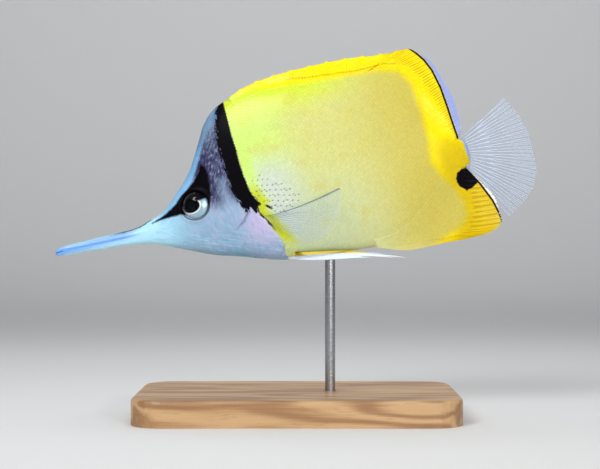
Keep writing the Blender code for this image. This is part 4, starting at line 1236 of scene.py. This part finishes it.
def fin_coat(name, arrays, line, reach, rim, material, seed):
    """Carries the scales on over a midline fin's fleshy part, up to the line in its margin."""
    faces, _, out, _, _ = arrays
    plane = (faces[0] + faces[1])[..., ::2] / 2
    low, high = plane.reshape(-1, 2).min(0), plane.reshape(-1, 2).max(0)
    fine = np.linspace(low[0], high[0], 2000)
    counts = running_count(fine, lambda along: scale_pitch(along) * FIN_SCALE_SHARE)
    found = []
    for number in range(-60, 90):
        along = np.interp(np.arange(0.5 * (number % 2), counts[-1]), counts, fine)
        height = number * scale_pitch(along) * FIN_SCALE_SHARE * ROW_SPACING
        found.append(np.stack((along, height), -1))
    found = np.concatenate(found)
    rng = np.random.default_rng(seed)
    away, sign, _ = outside(found[:, 0], found[:, 1], line)
    found = found[(away > -FAIRING_INSIDE - 0.5) & (found[:, 1] > low[1]) & (found[:, 1] < high[1])]
    found = found[line_distance(found[:, 0], found[:, 1], rim)[0] < -1.1]
    column, row, miss = locate(plane, found)
    share = row / (out.shape[1] - 1)
    local_reach = reach + rng.normal(0.0, 0.02, len(found))
    at_end = FAIRING_FADE * 0.3 * out.shape[0]
    keep = (miss < 0.05) & (share < local_reach) & (row > 1)
    keep &= (column > at_end) & (column < out.shape[0] - at_end)
    half = np.abs(sample((faces[1] - faces[0]) / 2, column, row)[:, 1])
    away = sign * (found[:, 1] - line(found[:, 0]))
    keep &= (away > -0.2) | (half > flesh_side(found[:, 0], found[:, 1]) - 0.22)
    column, row, share = column[keep], row[keep], share[keep]
    pitch = scale_pitch(found[keep, 0]) * FIN_SCALE_SHARE * (1 - 0.25 * share / reach)
    for side, face in zip(("left", "right"), faces):
        normal = grid_normals(face)
        normal *= (-1 if side == "left" else 1) * np.sign(normal[..., 1:2] + 1e-12)
        rays = sample(face, column, row + 0.5) - sample(face, column, row - 0.5)
        rays /= np.maximum(np.linalg.norm(rays, axis=-1, keepdims=True), 1e-9)
        lie = rays + (1.0, 0.0, 0.0)
        size = np.stack((pitch * 0.92, pitch * 0.64), -1)
        rise = bpy.context.scene.fish_sizes.scale_rise / MM * 0.8 * (1 - 0.35 * share / reach)
        rise = rise * (0.35 + 0.65 * ease(-2.2, 0.6, away[keep]))
        unwrap = np.stack((column / out.shape[0], 0.05 + 0.9 * row / out.shape[1]), -1)
        places = np.stack((column, row), -1)
        mesh = coat_mesh(
            f"scales_{name}_{side}", (face, normal), places, lie, size, rise, unwrap, seed, passes=5,
        )
        add_piece(f"scales_{name}_{side}", mesh, material)
        seed += 1


def yellow_fin_material():
    """Yellow web with rays and painted shadow between them, a clear lavender margin and the black line
    inside it.
    """
    paint = Paint("yellow_fin_web")
    look = bpy.context.scene.fish_colours
    colour, black = fish_colour(paint)
    ray, reach, rim = paint.attribute("ray"), paint.attribute("reach"), paint.attribute("rim_line")
    joints = paint.math("SINE", paint.attribute("edge") * 7.0) * 0.5 + 0.5
    # Painted shadow: brown between the rays, towards the margin of the fins behind along 138
    ray_gap_shade = paint.ease(ray, 0.45, 0.1) * paint.ease(reach, 0.45, 0.78)
    ray_gap_shade = ray_gap_shade * paint.ease(paint.attribute("along"), 138.0, 150.0)
    colour = paint.mix(ray_gap_shade * 0.62, colour, look.sheath_brown_and_gap_shade)
    clear = paint.ease(rim, 0.15, 0.75)
    pale = paint.mix(paint.ease(paint.attribute("height"), 0.0, -6.0), look.margin, look.low_margin)
    colour = paint.mix(clear, colour, paint.mix(ray * 0.3, pale, look.fin_ray))
    black = paint.most(black * (1 - clear), paint.near(rim + (ray - 0.5) * 0.14, 0.54, 0.24))
    colour = paint.mix(black, colour, look.black)
    normal = paint.bump(ray * joints + paint.noise(2400.0) * 0.3, 0.3, 0.0001)
    see_through = clear * (0.18 - ray * 0.12) * (1 - black)
    shader = paint.principled(
        base_color=colour, roughness=paint.ease(ray, 0.0, 1.0, 0.5, 0.36) + black * 0.15,
        coat_weight=0.14 - black * 0.12, specular_ior_level=0.05, coat_roughness=0.2,
        alpha=1.0 - see_through, normal=normal,
    )
    return paint.finish(shader)


class FISH_OT_midline_fins(bpy.types.Operator):
    """Makes the spiny and soft dorsal fins and the anal fin, scaled at their bases"""

    bl_idname = "fish.midline_fins"
    bl_label = "Midline fins"

    def execute(self, context):
        web = yellow_fin_material()
        scales = scale_material()
        place = between(flesh_root(top_line, SPINY_ROOT, 1), smooth_path(SPINY_MARGIN))
        spiny = fin_arrays(
            SPINE_COUNT, 18, 50, place, wavy, top_line, forks=None, notch=0.05, slim=0.16,
            bare_from=SPINY_BARE,
        )
        place = between(
            flesh_root(top_line, SOFT_ROOT, 1), smooth_path(SOFT_MARGIN), smooth_curve(SOFT_SHARES)
        )
        soft = fin_arrays(
            SOFT_RAY_COUNT, 14, 72, place, wavy, top_line, notch=0.02, bare_from=SOFT_BARE
        )
        place = between(
            flesh_root(bottom_line, ANAL_ROOT, -1), smooth_path(ANAL_MARGIN), smooth_curve(ANAL_SHARES),
            smooth_curve(ANAL_BOW),
        )
        anal = fin_arrays(
            ANAL_RAY_COUNT, 14, 72, place, wavy, bottom_line, notch=0.02, bare_from=ANAL_BARE
        )
        fins = (
            ("dorsal_fin_spiny", spiny, top_line, SPINY_COAT, DORSAL_LINE),
            ("dorsal_fin_soft", soft, top_line, SOFT_COAT, DORSAL_LINE),
            ("anal_fin", anal, bottom_line, ANAL_COAT, ANAL_LINE),
        )
        for name, arrays, _, _, rim in fins:
            fin_piece(name, arrays, web, rim)
        for number, (name, arrays, line, reach, rim) in enumerate(fins):
            fin_coat(name, arrays, line, reach, rim, scales, RANDOM_SEED + 40 + 2 * number)
        return {"FINISHED"}


def clear_fin_material(name, web_alpha, ray_alpha, fade_from, leading=0.0):
    """Clear web with pale jointed rays, which fade towards the margin."""
    paint = Paint(name)
    look = bpy.context.scene.fish_colours
    ray, reach = paint.attribute("ray"), paint.attribute("reach")
    joints = paint.math("SINE", paint.attribute("edge") * 6.5) * 0.5 + 0.5
    bony = paint.ease(ray, 0.35, 0.75)
    colour = paint.mix(bony, look.hyaline, look.fin_ray)
    colour = paint.mix(bony * joints * 0.25, colour, (1.0, 1.0, 1.0))
    first = paint.ease(paint.attribute("across"), 0.04, 0.01) * leading
    colour = paint.mix(first, colour, srgb(106, 126, 134))
    fade = paint.ease(reach, fade_from, fade_from + 0.2, 1.0, 0.45)
    alpha = web_alpha + bony * (ray_alpha - web_alpha) * fade + first * 0.5
    alpha = paint.most(alpha, paint.ease(reach, 0.12, 0.0))
    colour = paint.mix(paint.ease(reach, 0.24, 0.08) * leading * 0.8, colour, look.border_yellow)
    normal = paint.bump(ray * joints + paint.noise(2600.0) * 0.3, 0.25, 0.0001)
    shader = paint.principled(
        base_color=colour, roughness=0.34, coat_weight=0.3, coat_roughness=0.15,
        alpha=paint.least(alpha, 1.0), normal=normal,
    )
    return paint.finish(shader)


class FISH_OT_tail_fin(bpy.types.Operator):
    """Makes the clear tail fin"""

    bl_idname = "fish.tail_fin"
    bl_label = "Tail fin"

    def execute(self, context):
        def swing(along, height, out):
            reach = np.hypot(np.maximum(along - TAIL_SWING_START, 0), height)
            return TAIL_SWING * reach ** 1.5 * ease(0.0, 0.1, out)

        place = between(smooth_path(TAIL_ROOT), smooth_path(TAIL_MARGIN))
        tail = fin_arrays(
            TAIL_RAY_COUNT, 20, 72, place, swing, root_thickness=3.6, quick=5.0, forks=(0.3, 0.6),
            notch=0.02, slim=0.18,
        )
        material = clear_fin_material("clear_tail_web", 0.14, 0.66, 0.4)
        fin_piece("caudal_fin", tail, material)
        return {"FINISHED"}


class FISH_OT_pectoral_fins(bpy.types.Operator):
    """Makes the clear pectoral fins"""

    bl_idname = "fish.pectoral_fins"
    bl_label = "Pectoral fins"

    def execute(self, context):
        material = clear_fin_material("clear_pectoral_web", 0.06, 0.34, 0.4, leading=1.0)
        straight = between(smooth_path(PECTORAL_ROOT), smooth_path(PECTORAL_MARGIN))

        def place(across, out):
            spot = straight(across, out)
            spot[..., 1] -= PECTORAL_SAG * (1 - across) * np.sqrt(out) * (1 - out)
            return spot

        for sign, name in ((-1, "left"), (1, "right")):

            def middle(along, height, out, sign=sign):
                lift = np.maximum(along - PECTORAL_ROOT[1][0], 0) * math.tan(PECTORAL_FLARE) * out
                return sign * (flesh_side(along, height) + 0.75 * ease(0.0, 0.15, out) + lift)

            fin = fin_arrays(
                PECTORAL_RAY_COUNT, 16, 52, place, middle, root_thickness=1.6, quick=2.5,
                forks=(0.4, 0.66), notch=0.03, slim=0.18,
            )
            fin_piece("pectoral_fin_" + name, fin, material)
        return {"FINISHED"}


def pelvic_fin_material():
    """White leading ray, then yellow rays with a dusky line between."""
    paint = Paint("pelvic_web")
    look = bpy.context.scene.fish_colours
    across, ray = paint.attribute("across"), paint.attribute("ray")
    colour = paint.node(
        "ShaderNodeValToRGB",
        {"stops": [
            (0.0, srgb(232, 242, 250)), (0.27, srgb(230, 240, 248)), (0.34, srgb(255, 236, 80)),
            (0.84, srgb(255, 238, 70)), (0.9, srgb(110, 92, 30)), (1.0, srgb(140, 130, 60)),
        ]},
        {"Fac": across},
    )
    colour = paint.mix((1 - ray) * 0.1, colour, look.ochre)
    pale = paint.most(paint.ease(across, 0.3, 0.24), paint.ease(paint.attribute("along"), 112.0, 122.0))
    colour = paint.mix(pale, colour, srgb(230, 241, 249))
    joints = paint.math("SINE", paint.attribute("edge") * 6.0) * 0.5 + 0.5
    normal = paint.bump(ray * joints + paint.noise(2600.0) * 0.3, 0.25, 0.0001)
    shader = paint.principled(base_color=colour, roughness=0.38, coat_weight=0.25, normal=normal)
    return paint.finish(shader)


class FISH_OT_pelvic_fins(bpy.types.Operator):
    """Makes the folded pelvic fins with their drooping thread"""

    bl_idname = "fish.pelvic_fins"
    bl_label = "Pelvic fins"

    def execute(self, context):
        material = pelvic_fin_material()
        root, bow = smooth_path(PELVIC_ROOT), smooth_curve(PELVIC_BOW)
        tips = np.array(PELVIC_TIPS)
        last = len(tips) - 1

        def place(across, out):
            ray = across * last
            tip = np.stack([np.interp(ray, np.arange(last + 1), tips[:, k]) for k in (0, 1)], -1)
            start = root(across)
            spot = start + (tip - start) * out[..., None]
            spot[..., 1] += bow(across) * 4 * out * (1 - out)
            return spot

        for sign, name in ((-1, "left"), (1, "right")):

            def middle(along, height, out, sign=sign):
                spread = math.tan(PELVIC_FLARE) * (along - PELVIC_ROOT[0][0])
                clear = 0.5 - 2.2 * (1 - ease(0.0, 0.2, out))
                return sign * (np.maximum(flesh_side(along, height), PELVIC_CLEAR) + clear + spread)

            fin = fin_arrays(
                len(tips), 24, 96, place, middle, root_thickness=1.1, quick=2.0, notch=0.26, slim=0.26
            )
            fin_piece("pelvic_fin_" + name, fin, material)
        return {"FINISHED"}


def eye_matrix(sign):
    """Turns an eye made level, with X tailwards, Y up and Z outwards, into its place on one side."""
    small = 0.3
    side = flesh_side(EYE_ALONG, EYE_HEIGHT)
    back = flesh_side(EYE_ALONG + small, EYE_HEIGHT) - flesh_side(EYE_ALONG - small, EYE_HEIGHT)
    up = flesh_side(EYE_ALONG, EYE_HEIGHT + small) - flesh_side(EYE_ALONG, EYE_HEIGHT - small)
    back, up = back / (2 * small), up / (2 * small)
    out = np.array((-back, sign, -up)) / math.sqrt(1 + back * back + up * up)
    tail = np.array((1.0, 0.0, 0.0))
    tail = tail - out * (tail @ out)
    tail /= np.linalg.norm(tail)
    rise = np.cross(out, tail) * (1 if sign < 0 else -1)
    return np.array((tail, rise, out)).T, np.array((EYE_ALONG, sign * side, EYE_HEIGHT))


def dome_piece(name, rings, turns, material, sign):
    """A closed round piece of an eye from polar rings, each X, Y and Z by the turn on the level eye."""
    turn, centre = eye_matrix(sign)
    mesh, column, row, _ = shaped_grid(name, len(rings), turns + 1)
    angles = np.linspace(0, 2 * math.pi, turns + 1)
    angles[-1] = 0.0
    grid = np.array([np.stack(np.broadcast_arrays(*ring(angles)), -1) for ring in rings])
    points = grid[column, row]
    mesh.vertices.foreach_set("co", to_row(points @ turn.T + centre).astype(np.float32).ravel())
    add_attributes(mesh, {"eye_x": points[:, 0], "eye_y": points[:, 1]})
    close_mesh(mesh)
    return add_piece(name, mesh, material)


def iris_material():
    """Silver iris with a bright ring round the dark pupil, shaded dark above."""
    paint = Paint("silver_iris")
    look = bpy.context.scene.fish_colours
    x, y = paint.attribute("eye_x"), paint.attribute("eye_y")
    px = (x - PUPIL_CENTRE[0]) / PUPIL_HALF[0]
    py = (y - PUPIL_CENTRE[1]) / PUPIL_HALF[1]
    ring = paint.math("SQRT", px * px + py * py)
    streaks = paint.noise(1500.0, 4.0, 0.65)
    colour = paint.mix(paint.ease(streaks, 0.35, 0.7), look.cheek, look.iris)
    colour = paint.mix(paint.ease(ring, 1.3, 1.14), colour, (0.95, 0.97, 0.94))
    shade = paint.ease(y - x * 0.14 + (streaks - 0.5) * 0.8, 0.4, 1.4)
    rim = paint.ease(paint.math("SQRT", x * x + y * y), 4.75, 5.2)
    dark = paint.most(paint.most(shade, rim), paint.ease(ring, 1.08, 1.0))
    colour = paint.mix(dark, colour, look.black)
    shader = paint.principled(
        base_color=colour, roughness=paint.ease(dark, 0.0, 1.0, 0.28, 0.6), metallic=(1 - dark) * 0.55,
        specular_ior_level=0.05,
        normal=paint.bump(streaks, 0.3, 0.0001),
    )
    return paint.finish(shader)


def lens_material():
    """Near black lens behind the pupil."""
    paint = Paint("dark_lens")
    colour = paint.mix(paint.noise(400.0), (0.001, 0.001, 0.002), (0.003, 0.003, 0.006))
    shader = paint.principled(base_color=colour, roughness=0.5, specular_ior_level=0.0)
    return paint.finish(shader)


def cornea_material():
    """Clear front of the eye: see-through, with a glossy reflection that grows towards its edge."""
    paint = Paint("clear_cornea")
    film = paint.noise(900.0, 2.0)
    facing = paint.node("ShaderNodeFresnel", {}, {"IOR": 1.3})
    clear = paint.node("ShaderNodeBsdfTransparent", {}, {"Color": (1.0, 1.0, 1.0)})
    gloss = paint.node(
        "ShaderNodeBsdfGlossy", {},
        {"Color": (1.0, 1.0, 1.0), "Roughness": 0.03, "Normal": paint.bump(film, 0.04, 0.0001)},
    )
    shader = paint.node("ShaderNodeMixShader", {}, {0: facing * 0.3, 1: clear, 2: gloss})
    return paint.finish(shader)


class FISH_OT_eyes(bpy.types.Operator):
    """Makes each eye: iris with its sunken pupil, lens and clear cornea"""

    bl_idname = "fish.eyes"
    bl_label = "Eyes"

    def execute(self, context):
        sizes = context.scene.fish_sizes
        radius, depth, sink = sizes.eye_radius / MM, sizes.eye_depth / MM, sizes.eye_sink / MM
        iris, lens, cornea = iris_material(), lens_material(), cornea_material()

        def ball(size, deep, lift, level):
            """A ring round the eyeball at an angle from its front pole."""
            return lambda t: (
                size * math.sin(level) * np.cos(t), size * math.sin(level) * np.sin(t),
                deep * math.cos(level) + lift,
            )

        def iris_ring(share, dip):
            """A ring from the pupil's edge, at share 0, to the rim of the iris, at 1."""

            def ring(t):
                outer = radius * 0.94
                x = (PUPIL_CENTRE[0] + PUPIL_HALF[0] * np.cos(t)) * (1 - share) + outer * np.cos(t) * share
                y = (PUPIL_CENTRE[1] + PUPIL_HALF[1] * np.sin(t)) * (1 - share) + outer * np.sin(t) * share
                inside = np.clip(1 - (x * x + y * y) / (radius * 0.99) ** 2, 0.0, 1.0)
                return x, y, depth * 0.8 * np.sqrt(inside) - sink - dip

            return ring

        def pupil_ring(share, dip):
            def ring(t):
                x = PUPIL_CENTRE[0] + PUPIL_HALF[0] * share * np.cos(t)
                y = PUPIL_CENTRE[1] + PUPIL_HALF[1] * share * np.sin(t)
                return x, y, depth * 0.8 - sink - dip + 0 * t

            return ring

        def lens_ring(level):
            size = PUPIL_HALF[1] * 0.93 * math.sin(level)

            def ring(t):
                x = PUPIL_CENTRE[0] + size * 1.12 * np.cos(t)
                y = PUPIL_CENTRE[1] + size * np.sin(t)
                return x, y, depth * 0.8 - sink - 1.0 + 1.15 * math.cos(level) + 0 * t

            return ring

        for sign, name in ((-1, "left"), (1, "right")):
            rings = [pupil_ring(s, 1.1) for s in (0.01, 0.4, 0.75)] + [pupil_ring(0.93, 0.7)]
            rings += [iris_ring(s, d) for s, d in ((0.0, 0.28), (0.03, 0.06), (0.08, 0.0))]
            rings += [iris_ring(s, 0.0) for s in np.linspace(0.16, 1.0, 14)]
            rings += [ball(radius * 0.93, depth * 0.8, -sink - 0.3, a) for a in (1.5, 2.1, 2.6, 3.1)]
            piece = dome_piece("iris_" + name, rings, 72, iris, sign)
            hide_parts("eye_" + name)
            ball_rings = [lens_ring(level) for level in np.linspace(0.02, 3.12, 22)]
            dome_piece("lens_" + name, ball_rings, 48, lens, sign)
            front = [ball(radius, depth, -sink, a) for a in np.linspace(0.01, 1.5, 26)]
            back = [ball(radius * 0.975, depth * 0.96, -sink - 0.02, a) for a in np.linspace(1.5, 0.01, 18)]
            dome_piece("cornea_" + name, front + back, 72, cornea, sign)
        return {"FINISHED"}


def wood_material():
    """Satin wood with long grain along the base, growth rings and fine pores."""
    paint = Paint("satin_wood")
    look = bpy.context.scene.stage_look
    place = paint.node(
        "ShaderNodeMapping", {}, {"Vector": paint.place(), "Scale": (0.12, 1.0, 1.0)}
    )
    drift = paint.node("ShaderNodeTexNoise", {}, {"Vector": place, "Scale": 38.0, "Detail": 3.0})
    rings = paint.math("SINE", drift * 60.0) * 0.5 + 0.5
    fibres = paint.noise(1400.0, 4.0, 0.6, stretch=(30.0, 1.0, 1.0))
    pores = paint.ease(paint.noise(2600.0, 2.0, 0.5, stretch=(16.0, 1.0, 1.0)), 0.6, 0.72)
    shade = rings * 0.45 + fibres * 0.55
    colour = paint.mix(paint.ease(shade, 0.25, 0.8), look.wood, look.wood_grain)
    colour = paint.mix(pores * 0.5, colour, look.wood_grain)
    normal = paint.bump(fibres * 0.5 - pores, 0.25, 0.00015)
    shader = paint.principled(
        base_color=colour, roughness=paint.ease(fibres, 0.3, 0.7, 0.36, 0.48), coat_weight=0.2,
        coat_roughness=0.35, normal=normal,
    )
    return paint.finish(shader)


def steel_material():
    """Steel brushed round the rod."""
    paint = Paint("brushed_rod")
    look = bpy.context.scene.stage_look
    lines = paint.noise(5200.0, 3.0, 0.6, stretch=(50.0, 50.0, 1.0))
    cloud = paint.noise(180.0, 2.0)
    colour = paint.mix(lines * 0.5 + cloud * 0.3, look.steel, (0.3, 0.3, 0.31))
    shader = paint.principled(
        base_color=colour, metallic=1.0, roughness=paint.ease(lines, 0.3, 0.7, 0.22, 0.38),
        normal=paint.bump(lines, 0.15, 0.00005),
    )
    return paint.finish(shader)


class FISH_OT_stand_finish(bpy.types.Operator):
    """Gives the stand's base its wood and the rod its brushed steel"""

    bl_idname = "fish.stand_finish"
    bl_label = "Stand finish"

    def execute(self, context):
        for node, material in (("stand_base", wood_material()), ("stand_rod", steel_material())):
            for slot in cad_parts[node].material_slots:
                slot.material = material
        return {"FINISHED"}


def floor_material():
    """Pale floor and backdrop."""
    paint = Paint("pale_floor")
    look = bpy.context.scene.stage_look
    mottle = paint.noise(6.0, 3.0)
    colour = paint.mix(mottle * 0.12, look.floor, (0.6, 0.6, 0.6))
    normal = paint.bump(paint.noise(300.0), 0.03, 0.001)
    shader = paint.principled(base_color=colour, roughness=0.75, normal=normal)
    return paint.finish(shader)


def add_light(name, place, target, size, power):
    """A rectangular light that faces its target."""
    light = bpy.data.lights.new(name, "AREA")
    light.shape = "RECTANGLE"
    light.size, light.size_y = size
    light.energy = power
    light.spread = LIGHT_SPREAD
    lamp = bpy.data.objects.new(name, light)
    bpy.context.scene.collection.objects.link(lamp)
    lamp.location = place
    lamp.rotation_euler = (Vector(target) - Vector(place)).to_track_quat("-Z", "Y").to_euler()


class FISH_OT_stage(bpy.types.Operator):
    """Sets the floor with its backdrop, the soft light and the camera"""

    bl_idname = "fish.stage"
    bl_label = "Stage"

    def execute(self, context):
        look = context.scene.stage_look
        bm = bmesh.new()
        turns = [math.pi / 2 * i / BOWL_TURNS for i in range(BOWL_TURNS + 1)]
        flat = BOWL_RADIUS - BOWL_BEND
        profile = [(0.0, 0.0), (flat / 2, 0.0)]
        profile += [(flat + BOWL_BEND * math.sin(t), BOWL_BEND * (1 - math.cos(t))) for t in turns]
        profile.append((BOWL_RADIUS, BOWL_HEIGHT))
        line = [bm.verts.new((x, 0.0, z)) for x, z in profile]
        edges = [bm.edges.new(pair) for pair in zip(line, line[1:])]
        bmesh.ops.spin(
            bm, geom=line + edges, axis=(0.0, 0.0, 1.0), cent=(0.0, 0.0, 0.0), steps=BOWL_SIDES,
            angle=2 * math.pi, use_merge=True,
        )
        bmesh.ops.remove_doubles(bm, verts=bm.verts, dist=1e-6)
        bmesh.ops.recalc_face_normals(bm, faces=bm.faces)
        mesh = bpy.data.meshes.new("floor")
        bm.to_mesh(mesh)
        bm.free()
        mesh.shade_smooth()
        mesh.materials.append(floor_material())
        floor = bpy.data.objects.new("floor", mesh)
        context.scene.collection.objects.link(floor)

        for name, place, target, size, share in LIGHTS:
            add_light(name, place, target, size, look.key_power * share)
        world = bpy.data.worlds.new("soft_room")
        context.scene.world = world
        world.use_nodes = True
        background = world.node_tree.nodes["Background"]
        background.inputs["Color"].default_value = ROOM_COLOUR
        background.inputs["Strength"].default_value = ROOM_STRENGTH

        camera = bpy.data.cameras.new("camera")
        camera.lens = look.lens
        camera.clip_start, camera.clip_end = 0.01, 20.0
        view = bpy.data.objects.new("camera", camera)
        context.scene.collection.objects.link(view)
        right, up = PHOTO_WIDTH / 2 - FLOOR_PIXEL[0], FLOOR_PIXEL[1] - PHOTO_HEIGHT / 2
        away = PHOTO_WIDTH * look.lens / camera.sensor_width
        view.location = Vector((right, -away, up)) * PIXEL * MM
        view.rotation_euler = (math.pi / 2, 0.0, 0.0)
        context.scene.camera = view
        context.scene.view_settings.view_transform = "Standard"
        return {"FINISHED"}


OPERATORS = (
    FISH_OT_skin, FISH_OT_scales, FISH_OT_midline_fins, FISH_OT_tail_fin, FISH_OT_pectoral_fins,
    FISH_OT_pelvic_fins, FISH_OT_eyes, FISH_OT_stand_finish, FISH_OT_stage,
)


class FISH_PT_panel(bpy.types.Panel):
    """Lists the fish's pieces and looks"""

    bl_idname = "FISH_PT_panel"
    bl_label = "Butterflyfish"
    bl_space_type = "VIEW_3D"
    bl_region_type = "UI"
    bl_category = "Butterflyfish"

    def draw(self, context):
        layout = self.layout
        for operator in OPERATORS:
            layout.operator(operator.bl_idname)
        for group in (context.scene.fish_sizes, context.scene.fish_colours, context.scene.stage_look):
            box = layout.box()
            for name in group.bl_rna.properties.keys():
                if name not in ("rna_type", "name"):
                    box.prop(group, name)


GROUPS = (FishSizes, FishColours, StageLook)


def register():
    for group in (*GROUPS, *OPERATORS, FISH_PT_panel):
        bpy.utils.register_class(group)
    bpy.types.Scene.fish_sizes = PointerProperty(type=FishSizes)
    bpy.types.Scene.fish_colours = PointerProperty(type=FishColours)
    bpy.types.Scene.stage_look = PointerProperty(type=StageLook)


def unregister():
    for name in ("fish_sizes", "fish_colours", "stage_look"):
        delattr(bpy.types.Scene, name)
    for group in reversed((*GROUPS, *OPERATORS, FISH_PT_panel)):
        bpy.utils.unregister_class(group)


def main():
    register()
    for operator in OPERATORS:
        family, name = operator.bl_idname.split(".")
        getattr(getattr(bpy.ops, family), name)()


if __name__ == "__main__":
    main()
